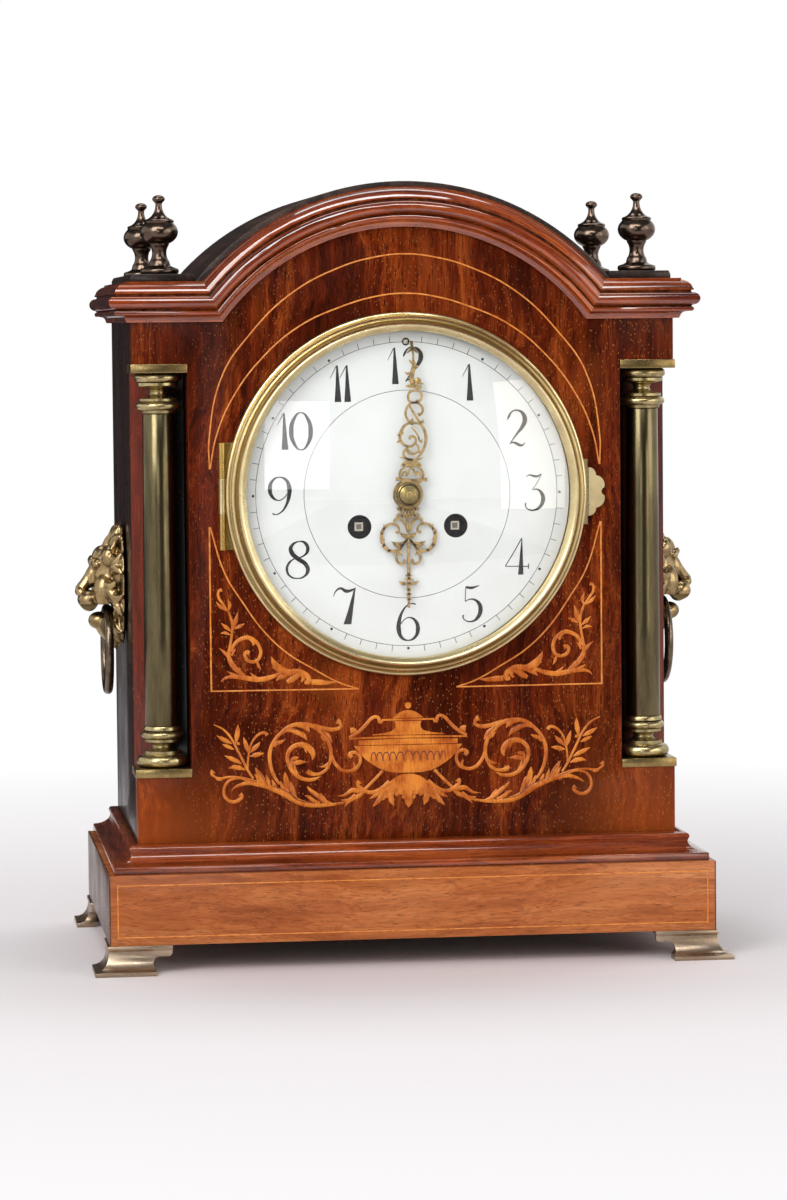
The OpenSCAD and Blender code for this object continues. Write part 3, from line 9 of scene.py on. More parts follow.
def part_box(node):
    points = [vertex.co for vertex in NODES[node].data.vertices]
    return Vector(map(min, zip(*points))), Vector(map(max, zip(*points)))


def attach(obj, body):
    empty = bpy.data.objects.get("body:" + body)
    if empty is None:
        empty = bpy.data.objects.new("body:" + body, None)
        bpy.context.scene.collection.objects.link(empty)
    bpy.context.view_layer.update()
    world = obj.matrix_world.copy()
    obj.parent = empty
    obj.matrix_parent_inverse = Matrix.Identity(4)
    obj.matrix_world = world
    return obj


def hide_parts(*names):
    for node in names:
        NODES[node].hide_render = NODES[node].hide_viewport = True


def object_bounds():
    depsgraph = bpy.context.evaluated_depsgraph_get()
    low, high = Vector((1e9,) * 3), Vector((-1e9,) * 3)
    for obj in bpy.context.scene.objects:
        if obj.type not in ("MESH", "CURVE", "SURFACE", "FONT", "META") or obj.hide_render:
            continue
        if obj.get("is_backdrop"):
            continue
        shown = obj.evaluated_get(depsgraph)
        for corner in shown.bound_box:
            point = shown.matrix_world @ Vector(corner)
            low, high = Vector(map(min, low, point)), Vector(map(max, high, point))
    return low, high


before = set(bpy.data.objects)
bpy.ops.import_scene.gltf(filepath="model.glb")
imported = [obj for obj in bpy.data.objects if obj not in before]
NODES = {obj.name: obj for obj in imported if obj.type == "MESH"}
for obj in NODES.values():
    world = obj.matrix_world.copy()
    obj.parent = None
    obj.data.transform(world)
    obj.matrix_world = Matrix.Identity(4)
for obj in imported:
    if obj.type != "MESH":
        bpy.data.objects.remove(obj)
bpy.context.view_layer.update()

MM = 0.001
HAIR = 1e-6  # metres within which points are one

# Main places of the clock, in millimetres
FRONT_Y = -64.5
DIAL_Z = 215.5
CORNICE_Z = 295.0
ARCH_Z = 234.2
ARCH_R = 115.0
SIDE_X = 125.0
PLINTH_Y = -85.5
MASK_Y = 10.5
MASK_Z = 172.0
CATCH_X = 84.6
KEY_X = 22.2
KEY_DROP = 14.7
REGULATOR_RISE = 69.6


# ---------------------------------------------------------------- camera

CAMERA_PLACE = (-0.2464, -1.9109, 0.2917)
CAMERA_TURN = (7.41, 3.84, -0.51)
LENS = 185.7
FILM_WIDTH = 36.0


def place_camera():
    """A long lens a little to the left of the dial and slightly above its middle."""
    yaw, pitch, roll = (math.radians(a) for a in CAMERA_TURN)
    ahead = Vector((math.sin(yaw) * math.cos(pitch), math.cos(yaw) * math.cos(pitch), -math.sin(pitch)))
    right = Vector((math.cos(yaw), -math.sin(yaw), 0.0))
    up = right.cross(ahead)
    across = right * math.cos(roll) + up * math.sin(roll)
    upright = -right * math.sin(roll) + up * math.cos(roll)
    bpy.ops.object.camera_add(location=CAMERA_PLACE)
    camera = bpy.context.active_object
    camera.name = "front_camera"
    camera.matrix_world = Matrix.Translation(CAMERA_PLACE) @ Matrix(
        (across, upright, -ahead)).transposed().to_4x4()
    camera.data.lens = LENS
    camera.data.sensor_fit = "HORIZONTAL"
    camera.data.sensor_width = FILM_WIDTH
    camera.data.clip_end = 60.0
    bpy.context.scene.camera = camera


# ---------------------------------------------------------------- bench tools

def clear_bench():
    """Leaves edit mode and puts every piece down."""
    if bpy.context.mode != "OBJECT":
        bpy.ops.object.mode_set(mode="OBJECT")
    bpy.ops.object.select_all(action="DESELECT")


def pick_up(*pieces):
    """Selects these pieces alone; the last one is the active piece."""
    clear_bench()
    for piece in pieces:
        piece.select_set(True)
    bpy.context.view_layer.objects.active = pieces[-1]
    return pieces[-1]


def fix_place(piece):
    """Moves a piece's place, turn and size into its mesh."""
    pick_up(piece)
    bpy.ops.object.transform_apply(location=True, rotation=True, scale=True)


def clean_mesh(piece):
    """Merges doubled points and turns every face outwards."""
    pick_up(piece)
    bpy.ops.object.mode_set(mode="EDIT")
    bpy.ops.mesh.select_all(action="SELECT")
    bpy.ops.mesh.remove_doubles(threshold=HAIR)
    bpy.ops.mesh.normals_make_consistent(inside=False)
    bpy.ops.object.mode_set(mode="OBJECT")


def use_modifier(piece, kind, **settings):
    """Adds a modifier with these settings and applies it."""
    pick_up(piece)
    modifier = piece.modifiers.new(kind.lower(), kind)
    for key, value in settings.items():
        setattr(modifier, key, value)
    bpy.ops.object.modifier_apply(modifier=modifier.name)


def finish_piece(piece, name, body, finish, stands_for=(), smooth=35):
    """Places, smooths, paints and hangs a finished piece on its body."""
    fix_place(piece)
    piece.name = name
    piece.data.name = name
    if smooth:
        bpy.ops.object.shade_smooth_by_angle(angle=math.radians(smooth))
    piece.data.materials.clear()
    piece.data.materials.append(finish)
    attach(piece, body)
    if stands_for:
        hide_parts(*stands_for)
    return piece


def move_points(piece, rule):
    """Moves every point of a mesh by a rule that takes and gives millimetres."""
    for vertex in piece.data.vertices:
        vertex.co = Vector(rule(*(vertex.co / MM))) * MM
    piece.data.update()


def copy_of_node(node):
    """A merged copy of a CAD node's mesh, free of the joins between its triangles."""
    mesh = NODES[node].data.copy()
    piece = bpy.data.objects.new(node + "_copy", mesh)
    bpy.context.scene.collection.objects.link(piece)
    if mesh.has_custom_normals:
        pick_up(piece)
        bpy.ops.mesh.customdata_custom_splitnormals_clear()
    pick_up(piece)
    bpy.ops.object.mode_set(mode="EDIT")
    bpy.ops.mesh.select_all(action="SELECT")
    bpy.ops.mesh.remove_doubles(threshold=2 * HAIR)
    bpy.ops.mesh.dissolve_limited(angle_limit=math.radians(1.5))
    bpy.ops.object.mode_set(mode="OBJECT")
    return piece


def eased_node(node, name, body, finish, edge=0.25, angle=38, smooth=24):
    """A CAD node's shape with its sharp edges eased."""
    piece = copy_of_node(node)
    if edge:
        use_modifier(piece, "BEVEL", width=edge * MM, segments=2, limit_method="ANGLE",
                     angle_limit=math.radians(angle), use_clamp_overlap=True, harden_normals=False)
    return finish_piece(piece, name, body, finish, stands_for=(node,), smooth=smooth)


def turn_piece(outline, centre, axis, steps=96, ring=False):
    """Turns an outline of (radius, distance along the axis) about Y or Z.

    The outline is drawn point by point from a small plate merged to one point.
    """
    def place(radius, along):
        """An outline's point in the plane it is turned from."""
        if axis == "Y":
            return Vector((centre[0] + radius, centre[1] + along, centre[2])) * MM
        return Vector((centre[0] + radius, centre[1], centre[2] + along)) * MM

    points = [place(*p) for p in outline]
    bpy.ops.mesh.primitive_plane_add(size=MM, location=points[0])
    piece = bpy.context.active_object
    fix_place(piece)
    bpy.ops.object.mode_set(mode="EDIT")
    bpy.ops.mesh.select_all(action="SELECT")
    bpy.ops.mesh.merge(type="CENTER")
    for here, there in zip(points, points[1:]):
        bpy.ops.mesh.extrude_region_move(TRANSFORM_OT_translate={"value": there - here})
    if ring:
        bpy.ops.mesh.extrude_region_move(TRANSFORM_OT_translate={"value": points[0] - points[-1]})
    bpy.ops.mesh.select_all(action="SELECT")
    bpy.ops.mesh.spin(steps=steps, angle=math.tau, center=Vector(centre) * MM,
                      axis=(0, 1, 0) if axis == "Y" else (0, 0, 1))
    bpy.ops.mesh.select_all(action="SELECT")
    bpy.ops.mesh.remove_doubles(threshold=2 * HAIR)
    bpy.ops.mesh.normals_make_consistent(inside=False)
    bpy.ops.object.mode_set(mode="OBJECT")
    return piece


def oval(cx, cy, rx, ry, start, end, steps=10):
    """Points of an oval arc for an outline."""
    return [(cx + rx * math.cos(math.radians(start + (end - start) * i / steps)),
             cy + ry * math.sin(math.radians(start + (end - start) * i / steps)))
            for i in range(steps + 1)]


def draw_strokes(strokes, steps=4, sides=2, closed=False):
    """Strokes of (x, z, half width) in millimetres as tapered round bars in the plane y = 0."""
    bpy.ops.curve.primitive_bezier_curve_add(location=(0, 0, 0))
    drawing = bpy.context.active_object
    curve = drawing.data
    curve.splines.clear()
    curve.dimensions = "3D"
    curve.bevel_depth = MM
    curve.bevel_resolution = sides
    curve.resolution_u = steps
    curve.use_fill_caps = True
    for stroke in strokes:
        spline = curve.splines.new("BEZIER")
        spline.bezier_points.add(len(stroke) - 1)
        for point, (x, z, half) in zip(spline.bezier_points, stroke):
            point.co = (x * MM, 0.0, z * MM)
            point.radius = max(half, 0.02)
            point.handle_left_type = point.handle_right_type = "AUTO"
        spline.use_cyclic_u = closed
    pick_up(drawing)
    bpy.ops.object.convert(target="MESH")
    return bpy.context.active_object


def cut_shapes(shapes):
    """Flat shapes cut from outlines of (x, z), lying in the plane y = 0."""
    bpy.ops.curve.primitive_bezier_curve_add(location=(0, 0, 0))
    drawing = bpy.context.active_object
    curve = drawing.data
    curve.splines.clear()
    curve.dimensions = "2D"
    curve.fill_mode = "BOTH"
    curve.extrude = VENEER * MM
    for shape in shapes:
        spline = curve.splines.new("POLY")
        spline.points.add(len(shape) - 1)
        for point, (x, z) in zip(spline.points, shape):
            point.co = (x * MM, z * MM, 0.0, 1.0)
        spline.use_cyclic_u = True
    pick_up(drawing)
    bpy.ops.object.convert(target="MESH")
    drawing = bpy.context.active_object
    drawing.rotation_euler = (math.pi / 2, 0, 0)
    fix_place(drawing)
    return drawing


def join_up(pieces):
    """Joins pieces into the last of them."""
    pick_up(*pieces)
    bpy.ops.object.join()
    return bpy.context.active_object


def mirror_across(piece):
    """Adds the mirror image of a flat drawing about the upright line through the clock's middle."""
    pick_up(piece)
    bpy.ops.object.duplicate()
    twin = bpy.context.active_object
    move_points(twin, lambda x, y, z: (-x, y, z))
    pick_up(twin)
    bpy.ops.object.mode_set(mode="EDIT")
    bpy.ops.mesh.select_all(action="SELECT")
    bpy.ops.mesh.flip_normals()
    bpy.ops.object.mode_set(mode="OBJECT")
    return join_up([twin, piece])


# ---------------------------------------------------------------- finishes

def colour(red, green, blue):
    """A display colour of 0 to 255 as the linear colour that the shaders use."""
    def linear(v):
        """One channel of the display colour made linear."""
        v /= 255
        return v / 12.92 if v <= 0.04045 else ((v + 0.055) / 1.055) ** 2.4
    return (linear(red), linear(green), linear(blue), 1.0)


def put(tree, kind, values=None, **settings):
    """Adds a node; values go to its inputs by name or number, as constants or links."""
    made = tree.nodes.new(kind)
    for key, value in settings.items():
        setattr(made, key, value)
    for key, value in (values or {}).items():
        socket = made.inputs[key]
        if isinstance(value, bpy.types.NodeSocket):
            tree.links.new(value, socket)
        else:
            socket.default_value = value
    return made


def reckon(tree, operation, first, second=0.0, third=0.0):
    """The result of a sum on numbers or sockets."""
    return put(tree, "ShaderNodeMath", {0: first, 1: second, 2: third}, operation=operation).outputs[0]


def mixed(tree, share, first, second):
    """Two colours mixed: the first where the share is 0, the second where it is 1."""
    return put(tree, "ShaderNodeMix", {0: share, 6: first, 7: second}, data_type="RGBA").outputs[2]


def spread(tree, value, low, high, out_low=0.0, out_high=1.0):
    """A value carried from one range to another and held at its ends."""
    return put(tree, "ShaderNodeMapRange", {0: value, 1: low, 2: high, 3: out_low, 4: out_high}).outputs[0]


def stretched(tree, vector, scale):
    """Coordinates scaled along each axis, which draws a pattern out along the smallest."""
    return put(tree, "ShaderNodeVectorMath", {0: vector, 1: scale}, operation="MULTIPLY").outputs[0]


def noise(tree, vector, scale, detail=3.0, rough=0.55, twist=0.0):
    """Soft noise around one half."""
    return put(tree, "ShaderNodeTexNoise",
               {"Vector": vector, "Scale": scale, "Detail": detail, "Roughness": rough,
                "Distortion": twist}).outputs[0]


def effect(name, inputs, outputs):
    """An empty node group with named inputs (name, kind, value) and outputs (name, kind)."""
    kinds = {"number": "NodeSocketFloat", "colour": "NodeSocketColor", "vector": "NodeSocketVector"}
    tree = bpy.data.node_groups.new(name, "ShaderNodeTree")
    for label, kind, value in inputs:
        socket = tree.interface.new_socket(label, in_out="INPUT", socket_type=kinds[kind])
        if value is not None:
            socket.default_value = value
    for label, kind in outputs:
        tree.interface.new_socket(label, in_out="OUTPUT", socket_type=kinds[kind])
    return tree, tree.nodes.new("NodeGroupInput").outputs, tree.nodes.new("NodeGroupOutput").inputs


def wood_figure():
    """Mahogany figure with its grain along Z of the vector: broad streaks, rings, fibres and pores."""
    tree, given, made = effect("wood_figure", [
        ("Vector", "vector", None), ("Streak size", "number", 55.0), ("Waviness", "number", 0.02)], [
        ("Streak", "number"), ("Fibre", "number"), ("Pore", "number")])
    wander = noise(tree, stretched(tree, given["Vector"], (6.0, 6.0, 9.0)), 1.0, 3.0)
    shift = reckon(tree, "MULTIPLY", reckon(tree, "SUBTRACT", wander, 0.5), given["Waviness"])
    push = put(tree, "ShaderNodeCombineXYZ", {0: shift, 1: shift}).outputs[0]
    bent = put(tree, "ShaderNodeVectorMath", {0: given["Vector"], 1: push}, operation="ADD").outputs[0]
    broad = noise(tree, stretched(tree, bent, (1.0, 1.0, 0.07)), given["Streak size"], 4.0, 0.6)
    fine = noise(tree, stretched(tree, bent, (1.0, 1.0, 0.035)),
                 reckon(tree, "MULTIPLY", given["Streak size"], 5.0), 4.0, 0.6)
    streak = reckon(tree, "ADD", reckon(tree, "MULTIPLY", broad, 0.56), reckon(tree, "MULTIPLY", fine, 0.44))
    tree.links.new(streak, made["Streak"])
    tree.links.new(noise(tree, stretched(tree, bent, (1.0, 1.0, 0.03)), 1500.0, 2.0), made["Fibre"])
    dash = noise(tree, stretched(tree, given["Vector"], (1.0, 1.0, 0.12)), 1900.0, 1.0, 0.5)
    tree.links.new(spread(tree, dash, 0.6, 0.72), made["Pore"])
    return tree


def moulding_run():
    """Turns object coordinates so that Z follows a mitred moulding: along the front, the sides or the arch."""
    tree, given, made = effect("moulding_run", [
        ("Vector", "vector", None), ("Half width", "number", SIDE_X * MM), ("Front", "number", FRONT_Y * MM),
        ("Arch centre", "number", ARCH_Z * MM), ("Mitre foot", "number", 0.0),
        ("Mitre lean", "number", 0.0), ("Mitre height", "number", CORNICE_Z * MM)], [
        ("Vector", "vector")])
    parts = put(tree, "ShaderNodeSeparateXYZ", {0: given["Vector"]}).outputs
    across = reckon(tree, "ABSOLUTE", parts[0])
    beside = reckon(tree, "SUBTRACT", across, given["Half width"])
    before = reckon(tree, "SUBTRACT", given["Front"], parts[1])
    side = reckon(tree, "GREATER_THAN", beside, before)
    reach = reckon(tree, "MULTIPLY_ADD", reckon(tree, "SUBTRACT", parts[2], given["Mitre height"]),
                   given["Mitre lean"], given["Mitre foot"])
    arch = reckon(tree, "MULTIPLY", reckon(tree, "LESS_THAN", across, reach), reckon(tree, "SUBTRACT", 1.0, side))
    rise = reckon(tree, "SUBTRACT", parts[2], given["Arch centre"])
    turn = reckon(tree, "ARCTAN2", parts[0], rise)
    radius = reckon(tree, "SQRT", reckon(tree, "ADD", reckon(tree, "POWER", parts[0], 2.0),
                                         reckon(tree, "POWER", rise, 2.0)))
    round_run = put(tree, "ShaderNodeCombineXYZ", {0: radius, 1: parts[1],
                                                   2: reckon(tree, "MULTIPLY", turn, ARCH_R * MM)})
    front_run = put(tree, "ShaderNodeCombineXYZ", {0: parts[2], 1: parts[1], 2: parts[0]})
    side_run = put(tree, "ShaderNodeCombineXYZ", {0: parts[0], 1: parts[2], 2: parts[1]})

    def either(share, first, second):
        """One of two vectors, by a share of 0 or 1."""
        return put(tree, "ShaderNodeMix", {0: share, 4: first, 5: second}, data_type="VECTOR").outputs[1]
    run = either(side, front_run.outputs[0], side_run.outputs[0])
    tree.links.new(either(arch, run, round_run.outputs[0]), made["Vector"])
    return tree


def worn_and_highlit_edges():
    """A mask of exposed edges, broken up by noise: rubbed wear that also paints the edges' highlights."""
    tree, given, made = effect("worn_and_highlit_edges", [
        ("Vector", "vector", None), ("Reach", "number", 0.0006)], [("Mask", "number")])
    rounded = put(tree, "ShaderNodeBevel", {"Radius": given["Reach"]}, samples=4).outputs[0]
    true = put(tree, "ShaderNodeNewGeometry").outputs["Normal"]
    same = put(tree, "ShaderNodeVectorMath", {0: rounded, 1: true}, operation="DOT_PRODUCT").outputs["Value"]
    edge = spread(tree, same, 0.995, 0.86)
    tree.links.new(reckon(tree, "MULTIPLY", edge, spread(tree, noise(tree, given["Vector"], 260.0, 3.0), 0.36, 0.62)),
                   made["Mask"])
    return tree


def specks():
    """Sparse small specks, as of old dust in the pores of a polish."""
    tree, given, made = effect("specks", [
        ("Vector", "vector", None), ("Number", "number", 1050.0), ("Share", "number", 0.2)], [("Mask", "number")])
    cells = put(tree, "ShaderNodeTexVoronoi", {"Vector": given["Vector"], "Scale": given["Number"]})
    chosen = reckon(tree, "LESS_THAN", put(tree, "ShaderNodeSeparateColor", {0: cells.outputs["Color"]}).outputs[0],
                    given["Share"])
    dot = spread(tree, cells.outputs["Distance"], 0.26, 0.14)
    patch = spread(tree, noise(tree, given["Vector"], 24.0, 2.0), 0.34, 0.6)
    tree.links.new(reckon(tree, "MULTIPLY", reckon(tree, "MULTIPLY", dot, chosen), patch), made["Mask"])
    return tree


def shelter():
    """A mask of grooves and inner corners, for the painted shade in them."""
    tree, given, made = effect("sheltered_grooves", [("Reach", "number", 0.004)], [("Mask", "number")])
    open_air = put(tree, "ShaderNodeAmbientOcclusion", {"Distance": given["Reach"]}, samples=6).outputs["AO"]
    tree.links.new(spread(tree, open_air, 0.82, 0.4), made["Mask"])
    return tree


def old_metal():
    """Colour, roughness and height of aged metal: cloudy tarnish, dark recesses and fine marks."""
    tree, given, made = effect("old_metal", [
        ("Vector", "vector", None), ("Bright", "colour", (0.5, 0.4, 0.2, 1)),
         ("Dark", "colour", (0.1, 0.08, 0.04, 1)),
        ("Tarnish", "number", 0.4), ("Cloud size", "number", 60.0), ("Recess", "number", 0.6),
        ("Smooth", "number", 0.22), ("Dull", "number", 0.42)], [
        ("Colour", "colour"), ("Roughness", "number"), ("Height", "number")])
    cloud = noise(tree, given["Vector"], given["Cloud size"], 5.0, 0.62)
    grain = noise(tree, given["Vector"], 1400.0, 2.0, 0.5)
    patch = spread(tree, reckon(tree, "ADD", reckon(tree, "MULTIPLY", cloud, 0.8),
                                reckon(tree, "MULTIPLY", grain, 0.2)), 0.4, 0.64)
    shelter = put(tree, "ShaderNodeAmbientOcclusion", {"Distance": 0.0035}, samples=6).outputs["AO"]
    recess = reckon(tree, "MULTIPLY", spread(tree, shelter, 0.85, 0.35), given["Recess"])
    age = reckon(tree, "MAXIMUM", reckon(tree, "MULTIPLY", patch, given["Tarnish"]), recess)
    tree.links.new(mixed(tree, age, given["Bright"], given["Dark"]), made["Colour"])
    tree.links.new(put(tree, "ShaderNodeMix", {0: age, 2: given["Smooth"], 3: given["Dull"]}).outputs[0],
                   made["Roughness"])
    tree.links.new(reckon(tree, "ADD", reckon(tree, "MULTIPLY", cloud, 0.7), reckon(tree, "MULTIPLY", grain, 0.3)),
                   made["Height"])
    return tree


def turning_marks():
    """Fine rings about an axis: the height that a lathe tool leaves."""
    tree, given, made = effect("turning_marks", [
        ("Vector", "vector", None), ("Centre", "vector", (0, 0, 0)), ("Fineness", "number", 2400.0)], [
        ("Height", "number")])
    away = put(tree, "ShaderNodeVectorMath", {0: given["Vector"], 1: given["Centre"]}, operation="SUBTRACT").outputs[0]
    parts = put(tree, "ShaderNodeSeparateXYZ", {0: away}).outputs
    radius = reckon(tree, "SQRT", reckon(tree, "ADD", reckon(tree, "POWER", parts[0], 2.0),
                                         reckon(tree, "POWER", parts[2], 2.0)))
    rings = put(tree, "ShaderNodeCombineXYZ", {0: radius, 1: reckon(tree, "MULTIPLY", parts[1], 0.6)}).outputs[0]
    tree.links.new(noise(tree, rings, given["Fineness"], 2.0, 0.5), made["Height"])
    return tree


WOOD_FIGURE = wood_figure()
MOULDING_RUN = moulding_run()
WORN_AND_HIGHLIT_EDGES = worn_and_highlit_edges()
SPECKS = specks()
PAINTED_GROOVE_SHADE = shelter()
OLD_METAL = old_metal()
TURNING_MARKS = turning_marks()


def new_finish(name, constants):
    """A material with one Principled shader whose plain values are set on its own sockets."""
    finish = bpy.data.materials.new(name)
    finish.use_nodes = True
    tree = finish.node_tree
    tree.nodes.clear()
    shader = put(tree, "ShaderNodeBsdfPrincipled", constants)
    put(tree, "ShaderNodeOutputMaterial", {"Surface": shader.outputs[0]})
    place = put(tree, "ShaderNodeTexCoord").outputs["Object"]
    return finish, tree, shader.inputs, place


def shared(tree, group, values):
    """Places a shared effect with its own values and gives its outputs."""
    made = tree.nodes.new("ShaderNodeGroup")
    made.node_tree = group
    for key, value in values.items():
        socket = made.inputs[key]
        if isinstance(value, bpy.types.NodeSocket):
            tree.links.new(value, socket)
        else:
            socket.default_value = value
    return made.outputs


def bump(tree, shader, height, strength, distance):
    """Raises a surface by a height of 0 to 1."""
    tree.links.new(put(tree, "ShaderNodeBump", {"Height": height, "Strength": strength,
                                                "Distance": distance}).outputs[0], shader["Normal"])


def wood_finish(name, tones, turn=(0, 0, 0), run=None, size=55.0, waviness=0.02, gloss=(0.24, 0.4),
                coat=0.35, speck=0.12, edge=0.5, pores=0.6, flame=0.0, polish=0.28, groove=0.0,
                second=None, film=0.12, corners=None, depth=1.5):
    """Polished wood.

    tones: dark, middle, light and pore colours. turn: how the grain is turned from upright. run: settings of
    a moulding run. second: dark and light tones that begin at a distance from the middle plane, and whether
    they lie inside it; inside, they fade to the pore colour from 112.5 mm to 105 mm from the middle, as painted shade.
    corners: how far the low corners are lightened as painted light and the high ones darkened as painted shade.
    groove: how dark the painted shade in hollows is. polish, film and depth: how strong the wood's own shine
    is, how dull its coat is, and how deep that looks.
    """
    finish, tree, shader, place = new_finish(name, {
        "Metallic": 0.0, "Coat Roughness": film, "Coat IOR": depth, "IOR": 1.48, "Specular IOR Level": polish})
    if run is None:
        vector = put(tree, "ShaderNodeMapping", {"Vector": place, "Rotation": turn}).outputs[0]
    else:
        vector = shared(tree, MOULDING_RUN, dict(run, Vector=place))["Vector"]
    figure = shared(tree, WOOD_FIGURE, {"Vector": vector, "Streak size": size, "Waviness": waviness})
    dark, middle, light, pore = tones
    base = put(tree, "ShaderNodeValToRGB", {0: figure["Streak"]})
    stops = base.color_ramp.elements
    stops[0].position, stops[0].color = 0.37, dark
    stops[1].position, stops[1].color = 0.65, light
    stops.new(0.5).color = middle
    fibred = mixed(tree, reckon(tree, "MULTIPLY", spread(tree, figure["Fibre"], 0.44, 0.62), 0.5), base.outputs[0],
                   dark)
    if flame:
        patch = noise(tree, stretched(tree, vector, (1.0, 1.0, 0.45)), 17.0, 3.0, 0.55, 0.8)
        fibred = mixed(tree, reckon(tree, "MULTIPLY", spread(tree, patch, 0.5, 0.68), flame), fibred, dark)
        fibred = mixed(tree, reckon(tree, "MULTIPLY", spread(tree, patch, 0.46, 0.3), flame * 0.8), fibred, light)
    pored = mixed(tree, reckon(tree, "MULTIPLY", figure["Pore"], pores), fibred, pore)
    if second:
        across = reckon(tree, "ABSOLUTE", put(tree, "ShaderNodeSeparateXYZ", {0: place}).outputs[0])
        there = reckon(tree, "LESS_THAN" if second[3] else "GREATER_THAN", across, second[2] * MM)
        other = mixed(tree, reckon(tree, "ADD", reckon(tree, "MULTIPLY", spread(tree, figure["Streak"], 0.4, 0.6), 0.6),
                                   reckon(tree, "MULTIPLY", spread(tree, figure["Fibre"], 0.36, 0.64), 0.4)),
                      second[0], second[1])
        # Inside, near the column, the tones fade to the pore colour: painted shadow of the column and the panel edge.
        other = mixed(tree, spread(tree, across, 0.1125, 0.105), other, pore) if second[3] else other
        pored = mixed(tree, there, pored, other)
    # Painted light and shade: the low outer corners lighten, and the high outer corners under the cornice darken.
    if corners:
        spot = put(tree, "ShaderNodeSeparateXYZ", {0: place}).outputs
        across = reckon(tree, "ABSOLUTE", spot[0])
        low = reckon(tree, "MULTIPLY", spread(tree, across, 0.06, 0.11), spread(tree, spot[2], 0.1, 0.06))
        high = reckon(tree, "MULTIPLY", spread(tree, across, 0.02, 0.1), spread(tree, spot[2], 0.235, 0.285))
        pored = mixed(tree, reckon(tree, "MULTIPLY", low, corners[0]), pored, light)
        pored = mixed(tree, reckon(tree, "MULTIPLY", high, corners[1]), pored, dark)
    # Grooves and hollows darkened towards the pore colour: painted shade.
    if groove:
        hollow = shared(tree, PAINTED_GROOVE_SHADE, {"Reach": 0.005})["Mask"]
        pored = mixed(tree, reckon(tree, "MULTIPLY", hollow, groove), pored, pore)
    # Edges lighten towards the light tone: rubbed wear and painted highlight.
    worn = shared(tree, WORN_AND_HIGHLIT_EDGES, {"Vector": place})["Mask"]
    edged = mixed(tree, reckon(tree, "MULTIPLY", worn, edge), pored, light)
    dust = shared(tree, SPECKS, {"Vector": stretched(tree, vector, (1.0, 1.0, 0.45)), "Share": speck})["Mask"]
    tree.links.new(mixed(tree, reckon(tree, "MULTIPLY", dust, 0.5), edged, colour(208, 140, 76)),
                   shader["Base Color"])
    cloud = noise(tree, place, 40.0, 3.0)
    tree.links.new(spread(tree, cloud, 0.35, 0.7, gloss[0], gloss[1]), shader["Roughness"])
    tree.links.new(reckon(tree, "MULTIPLY", spread(tree, cloud, 0.7, 0.3, 0.7, 1.0), coat), shader["Coat Weight"])
    rough = reckon(tree, "ADD", reckon(tree, "MULTIPLY", figure["Pore"], -0.6),
                   reckon(tree, "MULTIPLY", figure["Fibre"], 0.5))
    bump(tree, shader, rough, 0.25, 0.00008)
    return finish


def metal_finish(name, bright, dark, tarnish=0.4, cloud=60.0, recess=0.6, smooth=0.22, dull=0.42,
                 turned=None, fineness=2400.0, relief=0.12, stretch=None):
    """Aged metal; turned: centre of its lathe rings; stretch: how its clouds are drawn out."""
    finish, tree, shader, place = new_finish(name, {"Metallic": 1.0})
    vector = stretched(tree, place, stretch) if stretch else place
    aged = shared(tree, OLD_METAL, {"Vector": vector, "Bright": bright, "Dark": dark, "Tarnish": tarnish,
                                    "Cloud size": cloud, "Recess": recess, "Smooth": smooth, "Dull": dull})
    tree.links.new(aged["Colour"], shader["Base Color"])
    tree.links.new(aged["Roughness"], shader["Roughness"])
    height = aged["Height"]
    if turned:
        rings = shared(tree, TURNING_MARKS, {"Vector": place, "Centre": Vector(turned) * MM, "Fineness": fineness})
        height = reckon(tree, "ADD", reckon(tree, "MULTIPLY", height, 0.5), rings["Height"])
    bump(tree, shader, height, relief, 0.0002)
    return finish


# ---------------------------------------------------------------- drawn ornament

# Strokes of (x, z, half width) in millimetres. The frieze, its veins and the corners are the left half in the
# clock's own places; the urn is the right half about the middle; the hands are measured from their hub.

